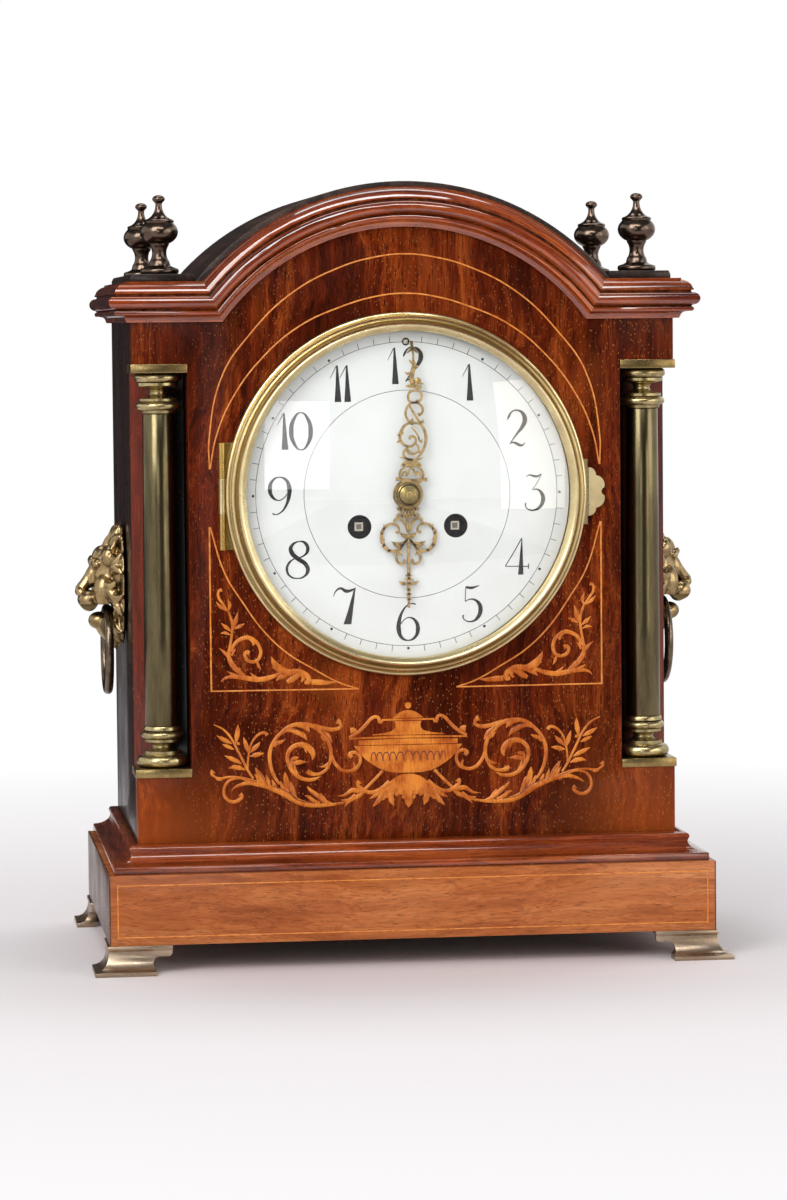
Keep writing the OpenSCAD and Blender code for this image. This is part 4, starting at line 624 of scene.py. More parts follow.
FRIEZE_LEAVES = [
    [(-27.2, 74.2, 0.17), (-31.3, 73.5, 0.5), (-36.3, 72.8, 0.67), (-43, 72.7, 0.92), (-48.8, 73.7, 1.25),
     (-53.8, 76, 1.42), (-58, 78.7, 1.42), (-62.2, 80.6, 1.25), (-66.3, 82.2, 1), (-70.5, 83.8, 0.92),
     (-74.2, 85.1, 0.75), (-78.4, 86.3, 0.58), (-83.4, 86.7, 0.5), (-87.2, 86.2, 0.5), (-89.7, 87, 0.42),
     (-91, 88.7, 0.67), (-90.2, 89.7, 1.17)],
    [(-85.5, 86.2, 0.25), (-87.3, 85.5, 0.5), (-89.2, 86, 0.25)],
    [(-56.3, 78.7, 1), (-56.3, 82, 1.25), (-57, 85.8, 1), (-57.3, 88.3, 0.17)],
    [(-58, 79.9, 0.83), (-58.8, 82.4, 0.67), (-59.5, 84.1, 0.25)],
    [(-53, 76.2, 1.08), (-53.8, 79.9, 1), (-54.7, 82.8, 0.67), (-55.3, 84.1, 0.17)],
    [(-61.3, 80.3, 0.75), (-62.3, 82.8, 0.75), (-63.3, 84.9, 0.25)],
    [(-64.7, 81, 0.92), (-65.1, 84.3, 0.83), (-65.8, 87.2, 0.17)],
    [(-66.3, 82, 0.92), (-67.8, 85.3, 1.17), (-69.5, 88.2, 1), (-71, 90.7, 0.17)],
    [(-69.2, 83.7, 0.67), (-70.1, 86.2, 0.58), (-71.2, 87.8, 0.17)],
    [(-35.9, 73, 0.67), (-39.7, 74.9, 1), (-43.4, 78, 1), (-45.7, 79.9, 0.67), (-47.1, 81.5, 0.17)],
    [(-38, 73.7, 0.58), (-39.7, 76.2, 0.75), (-41.2, 78.2, 0.25)],
    [(-41.3, 73.5, 0.75), (-44.7, 75.2, 0.83), (-46.3, 76.6, 0.67), (-48.2, 77.3, 0.17)],
    [(-59.8, 82.8, 0.5), (-62, 86.2, 0.67), (-63.8, 91.2, 0.75), (-64.2, 97, 0.83), (-62.6, 102, 0.75),
     (-59.2, 106.2, 0.75), (-54.7, 109.5, 0.83), (-48.8, 110.3, 0.92), (-43.8, 109.1, 0.92), (-39.7, 105.8, 0.92),
     (-36.8, 101.2, 0.83), (-35.9, 96.2, 0.75), (-36.8, 91.6, 0.67), (-39.2, 88.2, 0.67), (-43, 87, 0.67),
     (-45.9, 87.8, 1.08), (-47, 88.7, 0.67)],
    [(-58.8, 106.5, 0.42), (-55.1, 107.7, 0.83), (-51.3, 106.6, 1.08), (-48.8, 105.3, 1.08), (-47.7, 104.2, 0.67),
     (-47, 102.8, 0.08)],
    [(-51.3, 109.5, 0.5), (-48.8, 109.5, 1), (-46.8, 108.2, 1.08), (-45.7, 106.7, 0.17)],
    [(-41.3, 108.7, 0.5), (-39.7, 106.2, 1.08), (-37.6, 104.9, 1.08), (-36.2, 103.2, 0.67), (-35.3, 101.3, 0.08)],
    [(-40.5, 104.9, 0.42), (-39, 103, 0.75), (-36.5, 101.6, 0.17)],
    [(-43.8, 110.3, 0.25), (-40.5, 108.7, 0.75), (-36.8, 107.7, 0.92), (-33.4, 107.7, 0.83), (-31.3, 108.8, 0.67),
     (-31.5, 110.5, 0.67), (-33, 111.5, 1.42)],
    [(-32.6, 107.7, 0.42), (-31.2, 108.4, 0.33), (-30.1, 108.9, 0.08)],
    [(-62.3, 100.2, 0.5), (-60.9, 101.7, 0.92), (-59.2, 102.3, 0.83), (-57.2, 103.3, 0.08)],
    [(-36.2, 92.8, 0.5), (-37.8, 91.3, 0.67), (-39.7, 90.5, 0.42), (-41.4, 90.5, 0.08)],
    [(-41, 86, 0.17), (-43.8, 84.8, 0.75), (-48, 84.8, 0.83), (-52.2, 87, 0.83), (-55.1, 91, 0.83),
     (-56.1, 95.3, 0.83), (-54.7, 98.8, 0.92), (-51.3, 100.8, 1), (-47.6, 100.3, 1.33), (-45.1, 98.2, 1.42),
     (-44.2, 96, 1.08), (-44.5, 93.7, 0.17)],
    [(-55.3, 89.9, 0.42), (-53, 92.2, 0.92), (-50.5, 92.8, 1.08), (-47.5, 92.8, 0.17)],
    [(-54.2, 92, 0.42), (-53.7, 94.3, 0.75), (-52.2, 94.8, 0.83), (-50.7, 95, 0.17)],
    [(-53.2, 91, 0.67), (-52.3, 88.5, 0.67), (-50.8, 86.3, 0.42)],
    [(-48, 99.1, 0.25), (-47.5, 97.8, 0.33), (-47, 97, 0.08)],
    [(-37.8, 102.8, 0.17), (-36.3, 98.7, 0.5), (-35.3, 94.5, 0.67), (-33.4, 91, 0.75), (-30.5, 88.5, 0.75),
     (-26.5, 88.3, 0.75), (-23.4, 90.3, 0.75), (-22.3, 93.2, 0.67), (-23.4, 96, 0.67), (-25.8, 96.8, 0.75),
     (-27.2, 95.5, 1), (-26.2, 94.5, 0.75)],
    [(-25.3, 89.3, 0.33), (-25, 91, 0.5), (-25.7, 92.2, 0.17)],
    [(-71.8, 85.7, 0.5), (-74.2, 89.3, 0.5), (-76.7, 94.3, 0.5), (-79.2, 99.3, 0.5), (-81.7, 104.3, 0.5),
     (-85.5, 108.7, 0.42), (-89.9, 111, 0.17)],
    [(-79.8, 101.8, 0.17), (-79.2, 105.3, 1.08), (-78.8, 108.2, 0.92), (-78.7, 110.7, 0.08)],
    [(-81.5, 102, 0.17), (-83.8, 103.2, 0.92), (-85.9, 104.3, 0.92), (-88.5, 105.9, 0.08)],
    [(-80.7, 99.3, 0.17), (-82.3, 100.2, 0.75), (-84, 101, 0.75), (-86, 101.8, 0.08)],
    [(-77.2, 92.7, 0.17), (-79.5, 94, 0.92), (-82, 95.2, 0.92), (-85, 96.6, 0.08)],
    [(-75.5, 89.8, 0.17), (-78.2, 90.8, 1), (-80.7, 91.2, 0.92), (-83.2, 90.7, 0.08)],
    [(-79.2, 102.2, 0.58), (-78.5, 102, 0.75), (-78, 102.2, 0.5)],
    [(-74.5, 90, 0.42), (-74.3, 93.7, 0.42), (-73.5, 98.5, 0.42), (-72.5, 102, 0.42), (-70.5, 104.9, 0.5),
     (-68.2, 106.5, 0.58), (-66.2, 106.7, 0.67), (-65.2, 105.5, 0.83)],
    [(-73.8, 97, 0.17), (-74.7, 100.2, 1), (-75.4, 102.4, 0.83), (-76.1, 104.8, 0.08)],
    [(-73, 97.7, 0.17), (-71.2, 99.7, 1), (-69.8, 101, 0.83), (-68.5, 102.6, 0.08)],
    [(-73.2, 96, 0.17), (-70.9, 96.5, 1.08), (-68.8, 97, 0.83), (-66.8, 97.2, 0.08)],
    [(-76.8, 86, 0.42), (-80.9, 85.8, 0.5), (-84, 84.1, 0.58), (-85.5, 80.3, 0.58), (-84.5, 76.8, 0.67),
     (-81.5, 75.2, 0.75), (-78.7, 76, 0.75), (-77.2, 77.7, 0.67), (-78.2, 78.7, 1.08)],
    [(-65.9, 81.3, 0.33), (-70.1, 82.8, 0.75), (-74.2, 83.7, 0.83), (-78.4, 82.8, 0.67), (-80.5, 81.8, 0.42),
     (-81.9, 80.8, 0.08)],
    [(-20.3, 78.7, 0.33), (-23.4, 79, 1.08), (-26.3, 79.3, 1), (-28, 78.3, 0.75), (-30.3, 77, 0.5),
     (-33.1, 76.8, 0.08)],
    [(-20.9, 78.3, 0.33), (-23, 76.6, 1), (-25.7, 75.3, 0.75), (-28, 73.8, 0.58), (-29.7, 71.9, 0.08)],
    [(-31.3, 74.8, 0.33), (-28, 74.8, 0.67), (-24.7, 77, 0.83)],
]
FRIEZE_VEINS = [
    [(-39.7, 74.1, 0.17), (-42.6, 76.2, 0.25), (-45.1, 78.7, 0.17)],
    [(-51.3, 75.3, 0.17), (-54.7, 79.1, 0.25), (-56.3, 82, 0.17)],
    [(-58.8, 78.7, 0.17), (-62.2, 82.8, 0.17)],
    [(-65.1, 82, 0.17), (-67.6, 86.2, 0.25), (-69.2, 88.7, 0.17)],
    [(-54.7, 108.2, 0.17), (-50.9, 107.7, 0.25), (-48.3, 105.3, 0.17)],
    [(-40.5, 107.7, 0.17), (-38.4, 105.3, 0.25), (-36.5, 102.7, 0.17)],
    [(-53, 89.1, 0.17), (-53.8, 92.4, 0.25)],
    [(-43.8, 73.7, 0.17), (-51.3, 75.3, 0.25), (-57.2, 79.9, 0.25), (-63, 82, 0.17)],
    [(-70.5, 84.1, 0.17), (-76.3, 86, 0.17)],
]
URN_LEAVES = [
    [(11.8, 111.3, 0.5), (12.8, 110.7, 1), (13.5, 111.7, 0.75), (14, 112.8, 0.67), (16.3, 112.7, 0.75),
     (19.2, 109.9, 0.75), (22.3, 106.8, 0.75), (24.8, 105, 0.67), (27.3, 103.8, 0.5)],
    [(24.7, 105, 0.33), (24.8, 107, 0.83), (26.8, 106.7, 1.58)],
    [(12, 88, 0.67), (16.3, 83.5, 0.67), (20.7, 79.3, 0.58)],
    [(8.8, 82.8, 1.17), (11.8, 80.3, 1), (15.5, 78.3, 0.92), (19.2, 78.3, 0.83), (22.3, 80.2, 0.83),
     (23.7, 82, 0.75), (22.7, 83.3, 1.17)],
    [(0, 78.7, 2.17), (0, 75.8, 1.67), (0, 72.8, 1.58), (0, 70.7, 0.17)],
    [(-1.2, 77, 0.83), (-2.2, 75.3, 0.83), (-2.8, 76.3, 0.33)],
    [(1.2, 77, 0.83), (2.2, 75.3, 0.83), (3, 76.3, 0.33)],
    [(7.2, 80.3, 1.83), (8.2, 76.6, 1.17), (8, 74.1, 1.33), (7, 71.8, 0.17)],
    [(6.2, 78.7, 0.83), (5.5, 76.6, 0.67), (4.8, 77, 0.25)],
    [(8.8, 77.8, 0.75), (10.2, 75.7, 0.5), (10.8, 76, 0.17)],
    [(11.3, 79.5, 1.5), (12.6, 76.6, 1), (14.5, 73.8, 1.08), (16.7, 71.5, 0.17)],
    [(13.2, 78.2, 0.83), (15.9, 76.3, 0.83), (18.2, 75.2, 0.17)],
    [(10.5, 77.8, 0.67), (11.8, 74.8, 0.5), (12.5, 74.5, 0.17)],
]
GADROON_LINES = [
    [(-1.8, 92.4, 0.16), (-2, 94.5, 0.22), (0, 97, 0.3), (2, 94.5, 0.22), (1.8, 92.4, 0.16)],
    [(2.5, 92.4, 0.16), (2.3, 94.5, 0.22), (3.8, 96.5, 0.3), (5.3, 94.5, 0.22), (5.2, 92.4, 0.16)],
    [(5.9, 92.4, 0.16), (5.8, 94.5, 0.22), (7.2, 96.5, 0.3), (8.6, 94.5, 0.22), (8.4, 92.4, 0.16)],
    [(9.2, 92.4, 0.16), (9, 94.5, 0.22), (10.3, 96.5, 0.3), (11.7, 94.5, 0.22), (11.5, 92.4, 0.16)],
    [(12.2, 92.4, 0.16), (12.1, 94.5, 0.22), (13.3, 96.5, 0.3), (14.6, 94.5, 0.22), (14.4, 92.4, 0.16)],
    [(15.2, 92.4, 0.16), (15.1, 94.5, 0.22), (16.2, 96.5, 0.3), (17.2, 94.5, 0.22), (17.1, 92.4, 0.16)],
]
URN_BODIES = [
    [(0, 119.4), (0.8, 119.2), (1.35, 118.6), (1.45, 117.9), (1.2, 117.1), (0.7, 116.6), (0, 116.5)],
    [(0, 115.8), (2.2, 115.5), (4.2, 114.7), (5.8, 113.3), (7.2, 112.2), (0, 112.2)],
    [(0, 111.9), (12.3, 111.9), (12.3, 111.1), (0, 111.1)],
    [(0, 110.8), (6.3, 110.8), (5.8, 109.5), (5.8, 108), (6.7, 106.7), (8.8, 105.8), (13, 105.2), (16.8, 104.8),
     (16.8, 104.4), (0, 104.4)],
    [(0, 104.2), (12.2, 103.9), (27.5, 103.5), (27.5, 102.8), (0, 103)],
    [(0, 102.7), (23, 102.2), (23, 100), (0, 100)],
    [(0, 99.7), (25.2, 99.7), (23.8, 97.8), (22, 95.5), (19.7, 93.2), (17, 91.2), (14, 89.3), (10.5, 87.8),
     (6.3, 87), (0, 86.8)],
    [(0, 86.3), (2.7, 86.2), (5.3, 85.3), (7.7, 83.8), (9.7, 81.8), (11.8, 79.8), (12.2, 77.8), (8.8, 76.6),
     (5.5, 77.3), (3, 76.6), (0, 76.6)],
]
SPANDREL_LEAVES = [
    [(-86.3, 130.6, 0.08), (-84.3, 132.2, 0.5), (-80.4, 132.8, 0.83), (-75.4, 132.2, 1), (-70, 131.3, 1),
     (-65, 131.8, 1), (-61.2, 133, 0.75), (-57.5, 134.7, 0.67)],
    [(-32.3, 129.7, 0.08), (-36.7, 129.2, 0.75), (-40.8, 129.5, 1.17), (-44.6, 129.7, 1.08)],
    [(-63, 141.8, 0.08), (-61.7, 138.8, 1.08), (-58.7, 135.8, 1.58), (-55.2, 134.2, 1.33), (-51.2, 134.7, 1.08),
     (-48.2, 133.7, 1.08), (-46, 131.7, 1.08), (-46.2, 129.5, 0.92), (-47.8, 129.8, 0.67)],
    [(-55.8, 129.8, 0.75), (-53.3, 131.3, 1.25), (-50, 133.3, 0.83)],
    [(-60.7, 130.6, 0.17), (-58.7, 132.3, 1), (-56, 133.3, 0.83)],
    [(-62.7, 137, 0.08), (-60.5, 135.8, 0.75), (-58.3, 134.3, 0.67)],
    [(-49.6, 134.2, 0.67), (-48.3, 131.8, 0.83), (-49.3, 129.8, 0.33)],
    [(-75.5, 133, 0.75), (-78.8, 135.8, 1), (-81.5, 139.2, 1), (-82.5, 142.5, 0.75), (-82, 146, 0.58),
     (-81.2, 150.8, 0.5), (-80.7, 155, 0.5), (-81.2, 159.3, 0.5), (-82.5, 162.8, 0.42)],
    [(-82.8, 163, 0.33), (-85.2, 166.7, 0.5), (-86.9, 169.3, 0.5), (-86.7, 172.2, 0.5), (-85.3, 172.8, 0.75)],
    [(-82.5, 163, 0.17), (-81.8, 165.6, 0.83), (-82.7, 168.5, 0.08)],
    [(-83.5, 163.3, 0.25), (-86, 165, 0.75), (-88, 167.3, 0.08)],
    [(-80, 155, 0.17), (-79.2, 158.3, 1), (-78, 162.7, 0.08)],
    [(-79.7, 154.7, 0.17), (-77.3, 156, 0.83), (-75.1, 157, 0.08)],
    [(-81.2, 153.5, 0.17), (-83.5, 155.5, 0.83), (-85.8, 157.5, 0.08)],
    [(-81.7, 152, 0.17), (-84, 153, 0.67), (-86.2, 152.8, 0.08)],
    [(-82.3, 141.4, 0.58), (-84.2, 143.8, 0.67), (-86.8, 146, 0.08)],
    [(-81.2, 142.5, 0.5), (-80, 144.7, 0.42), (-79.3, 145.7, 0.08)],
    [(-81.2, 144.2, 0.5), (-80, 147.5, 0.67), (-77.3, 149.8, 0.75), (-73.8, 150.7, 0.83), (-70.3, 149, 0.75),
     (-68.2, 146, 0.67), (-68, 142.5, 0.67), (-70, 139.8, 0.67), (-72.8, 139.7, 0.67), (-75, 141.7, 0.67),
     (-74.5, 144, 0.67), (-73, 143.5, 0.92)],
    [(-72.7, 150, 0.5), (-71, 148.5, 0.92), (-71.2, 147, 0.25)],
    [(-69.7, 139.7, 0.42), (-68.7, 137.2, 0.58), (-67.8, 135.5, 0.08)],
    [(-83.2, 135.3, 0.08), (-80.7, 133.8, 0.67), (-77.5, 132.7, 0.58)],
    [(-77.9, 137, 0.08), (-77.2, 134.7, 0.75), (-76.2, 132.8, 0.5)],
    [(-72.7, 134.5, 0.08), (-71, 132.8, 0.58), (-69, 131.8, 0.42)],
]
MINUTE_SCROLLS = [
    [(-0.1, 70, 0.41), (0.07, 68.5, 0.5), (0.29, 67, 0.41), (0.6, 65.3, 0.36)],
    [(0.42, 67, 0.32), (-0.64, 65.6, 0.36), (-2.06, 64.3, 0.18)],
    [(0.61, 66.9, 0.32), (1.91, 65.5, 0.36), (3.48, 64.3, 0.18)],
    [(0.59, 65.6, 0.27), (0.87, 63.3, 0.27), (1.01, 61, 0.36), (1.5, 59.2, 0.59), (1.08, 57.4, 0.64),
     (0.62, 55.5, 0.68), (0.35, 53.3, 0.73), (0.49, 51, 0.64), (0.81, 49.1, 0.36)],
    [(-1.09, 61.3, 0.09), (-0.07, 60.4, 0.36), (0.95, 59.3, 0.32)],
    [(3.51, 58.6, 0.09), (2.34, 58.3, 0.36), (1.53, 57.8, 0.32)],
    [(-2.88, 55.7, 0.09), (-1.59, 55, 0.41), (-0.41, 55.1, 0.36), (0.51, 54.5, 0.27)],
    [(1.09, 48.8, 0.36), (2.33, 50.3, 0.45), (3.29, 51.9, 1), (4.36, 50.8, 0.45), (6.14, 50.5, 0.09)],
    [(-2.56, 49.1, 0.09), (-1.2, 49.4, 0.45), (-0.1, 49.1, 0.41), (1, 48.7, 0.27)],
    [(1.55, 48.6, 0.36), (2.44, 49.1, 0.64), (3.95, 48.8, 0.59), (5.07, 49.6, 0.27)],
    [(1.93, 47.5, 0.32), (-0.23, 46.7, 0.36), (-1.14, 44.4, 0.36), (-0.23, 42.4, 0.36), (2.05, 41.9, 0.36),
     (4.31, 42.8, 0.36), (5.17, 45, 0.36), (4.04, 47, 0.32), (2.29, 47.6, 0.27)],
    [(2.93, 43.3, 0.41), (3.22, 42.8, 0.32), (3.41, 42, 0.27)],
    [(3.53, 36.5, 0.59), (4.98, 36.8, 0.36), (5.76, 38.7, 0.36), (4.57, 41, 0.36), (2.05, 42, 0.36),
     (-0.43, 41, 0.36), (-1.96, 38.3, 0.36), (-1.81, 35.5, 0.36), (-0.2, 32.8, 0.36)],
    [(-0.42, 40.6, 0.32), (1.52, 37.3, 0.32), (3.68, 34.1, 0.36), (5.83, 31, 0.41), (7.17, 27.9, 0.45),
     (7.51, 25, 0.45), (6.68, 21.4, 0.41), (5.1, 18.4, 0.36), (3.5, 16.7, 0.27)],
    [(-0.07, 32.8, 0.36), (-2.62, 31.1, 0.41), (-3.94, 28.8, 0.45), (-4.56, 26, 0.45), (-3.65, 23.7, 0.41),
     (-1.52, 22.2, 0.36), (0.75, 22, 0.36), (2.45, 23.3, 0.36), (2.87, 25.1, 0.36), (1.48, 26.5, 0.36),
     (0.03, 26, 0.41), (0.41, 25.1, 0.27)],
    [(-6, 27.5, 0.09), (-4.99, 27, 0.36), (-4.25, 26.2, 0.27)],
    [(-6.1, 23.6, 0.09), (-5.02, 24.1, 0.36), (-4.22, 25, 0.27)],
    [(-2.66, 28.5, 0.09), (-3.28, 28, 0.32), (-3.91, 27.3, 0.27)],
    [(0.55, 31.7, 0.45), (0.96, 33.8, 0.5), (1.3, 34.9, 0.09)],
    [(0.63, 32, 0.41), (2.25, 32.6, 0.32), (3.9, 32.2, 0.27), (5.46, 31.5, 0.23)],
    [(3.86, 34, 0.27), (5.06, 33, 0.32), (6.32, 33.5, 0.59)],
    [(0.7, 30.8, 0.23), (2.43, 28.8, 0.23), (4.02, 26.5, 0.27), (4.7, 24.6, 0.27), (5.79, 24.4, 0.59)],
    [(-0.69, 21.6, 0.32), (-2.2, 20, 0.36), (-2.62, 18, 0.36), (-0.94, 16.3, 0.36), (1.7, 15.9, 0.36)],
    [(-1.03, 20.6, 0.41), (0.04, 19.1, 0.5), (1.92, 18.5, 0.36), (3.81, 19.3, 0.27), (4.8, 19.8, 0.55)],
    [(2.63, 23.6, 0.27), (3.94, 22, 0.27), (4.25, 20.1, 0.27)],
    [(-4.5, 16.9, 0.09), (-2.4, 16.6, 0.41), (0.34, 16, 0.41), (3.43, 16, 0.41), (6.14, 16.7, 0.09)],
    [(-3.41, 13, 0.32), (-2.08, 14.3, 0.45), (1, 14.8, 0.5), (4.1, 14.3, 0.45), (5.49, 13, 0.32)],
    [(-2.88, 13.2, 0.45), (1.03, 13.5, 0.64), (4.94, 13.2, 0.45)],
    [(-1.77, 12.5, 0.27), (-3.65, 11.1, 0.36), (-4.32, 8.8, 0.36), (-3.47, 7.2, 0.36)],
    [(3.96, 12.5, 0.27), (5.81, 11.1, 0.36), (6.58, 8.8, 0.36), (5.8, 7.2, 0.36)],
    [(-3.04, 8.2, 0.27), (-2.89, 9.6, 0.32), (-1.81, 10.3, 0.32), (-0.88, 9.4, 0.32), (-1.5, 8.5, 0.36)],
    [(5.32, 8.2, 0.27), (5.11, 9.6, 0.32), (4.01, 10.3, 0.32), (3.12, 9.4, 0.32), (3.77, 8.5, 0.36)],
    [(-0.42, 9.1, 0.27), (0.17, 11.2, 0.27), (1.06, 12, 0.32), (2.08, 11.2, 0.27), (2.76, 9.1, 0.27)],
    [(-6.1, 7, 0.59), (-4.01, 6.9, 0.41), (1.18, 6.4, 0.45), (6.44, 6.9, 0.41), (8.44, 7, 0.59)],
    [(-3.45, 6, 0.36), (1.2, 5.3, 0.45), (5.82, 6, 0.36)],
]
HOUR_MIDDLE = [
    [(-4.55, -6.5, 0.41), (-2.73, -6.8, 0.41), (0, -6.9, 0.45), (2.73, -6.8, 0.41), (4.55, -6.5, 0.41)],
    [(-3.55, -9.4, 0.41), (-1.82, -10, 0.45), (0, -10.1, 0.5), (1.82, -10, 0.45), (3.55, -9.4, 0.41)],
    [(-0.5, -10.3, 0.27), (-0.45, -14, 0.27), (-0.41, -17.6, 0.27)],
    [(0.5, -10.3, 0.27), (0.45, -14, 0.27), (0.41, -17.6, 0.27)],
    [(-4, -17.2, 0.09), (-2.55, -18.6, 0.55), (0, -19.2, 0.82), (2.55, -18.6, 0.55), (4, -17.2, 0.09)],
    [(0, -20.4, 0.59), (0, -25.3, 0.55), (0, -30.8, 0.5), (0, -35.3, 0.55), (0, -37.1, 0.64)],
    [(-1.73, -37.3, 0.09), (-0.73, -37, 0.41), (0, -36.8, 0.45), (0.73, -37, 0.41), (1.73, -37.3, 0.09)],
    [(-2.27, -39.2, 0.09), (-1, -38.8, 0.41), (0, -38.4, 0.55), (1, -38.8, 0.41), (2.27, -39.2, 0.09)],
    [(0, -37.1, 0.59), (0, -41.7, 0.59), (0, -46.2, 0.5), (0, -50.9, 0.36), (0, -51.9, 0.5)],
    [(-1.27, -43.4, 0.09), (-0.45, -43.8, 0.36), (0, -43.5, 0.45), (0.45, -43.8, 0.36), (1.27, -43.4, 0.09)],
    [(-1.45, -45.3, 0.09), (-0.55, -45.9, 0.36), (0, -45.5, 0.45), (0.55, -45.9, 0.36), (1.45, -45.3, 0.09)],
    [(-1.09, -47.7, 0.09), (-0.45, -48.2, 0.36), (0, -47.9, 0.45), (0.45, -48.2, 0.36), (1.09, -47.7, 0.09)],
    [(-0.73, -49.9, 0.09), (-0.27, -50.2, 0.27), (0, -50, 0.36), (0.27, -50.2, 0.27), (0.73, -49.9, 0.09)],
]
HOUR_COLLAR = [
    [(-3.3, -6.3, 0.4), (-3.1, -8.2, 0.36), (-2.7, -10.1, 0.36)],
    [(-1.65, -6.3, 0.4), (-1.5, -8.2, 0.36), (-1.3, -10.1, 0.36)],
    [(0, -6.3, 0.4), (0, -8.2, 0.36), (0, -10.1, 0.36)],
    [(1.65, -6.3, 0.4), (1.5, -8.2, 0.36), (1.3, -10.1, 0.36)],
    [(3.3, -6.3, 0.4), (3.1, -8.2, 0.36), (2.7, -10.1, 0.36)],
]
HOUR_SIDES = [
    [(0.36, -17.6, 0.27), (1.45, -14, 0.36), (3, -11.7, 0.41), (4.91, -11, 0.41), (6.09, -11.7, 0.41),
     (6.18, -12.7, 0.5)],
    [(4.36, -6.5, 0.45), (5.18, -6.8, 0.55)],
    [(3.64, -9.3, 0.45), (4.55, -9.5, 0.55), (5.09, -10.3, 0.36)],
    [(0.45, -20.4, 0.32), (2.09, -22.4, 0.36), (3.91, -24.5, 0.41), (6.36, -25.9, 0.45), (9.18, -25.5, 0.5),
     (11.36, -23.1, 0.55), (12.36, -20, 0.55), (11.91, -16.8, 0.5), (9.91, -14.2, 0.41), (7.27, -13.4, 0.41),
     (5.09, -14.3, 0.36), (4.27, -16.1, 0.36), (4.91, -17.4, 0.41), (5.91, -17, 0.36)],
    [(11.36, -13.6, 0.09), (11.09, -15, 0.36), (11.45, -16.2, 0.36)],
    [(13.18, -16.8, 0.09), (12.36, -17.4, 0.36), (12, -18.3, 0.36)],
    [(12.64, -23.6, 0.09), (11.64, -23.3, 0.41), (10.91, -22.6, 0.36)],
    [(9.91, -26.4, 0.09), (9.27, -25.7, 0.41), (8.18, -25.3, 0.36)],
    [(11, -20.3, 0.09), (11.45, -21, 0.27), (12, -20.6, 0.27)],
    [(1.09, -21, 0.27), (2.64, -22.4, 0.5), (4.55, -22.7, 0.59), (6.36, -22.2, 0.41), (7.91, -21.5, 0.09)],
    [(1.64, -21.9, 0.23), (3.45, -23.3, 0.41), (5.45, -23.6, 0.41), (7.09, -22.9, 0.09)],
    [(0.73, -20.6, 0.32), (2.09, -22.5, 0.41), (3.73, -25, 0.41), (5.09, -27.1, 0.41), (5.55, -29.4, 0.41),
     (4.45, -31.3, 0.41), (2.64, -31.7, 0.41), (1.73, -30.4, 0.41), (2.36, -29.9, 0.41)],
    [(3.91, -25.3, 0.09), (3.64, -27.1, 0.36), (2.91, -28.1, 0.09)],
    [(0, -40.6, 0.36), (1.36, -40.9, 0.41), (3, -40.7, 0.59), (4.09, -40.1, 0.27), (4.64, -39.7, 0.09)],
]


# ---------------------------------------------------------------- figures of the dial

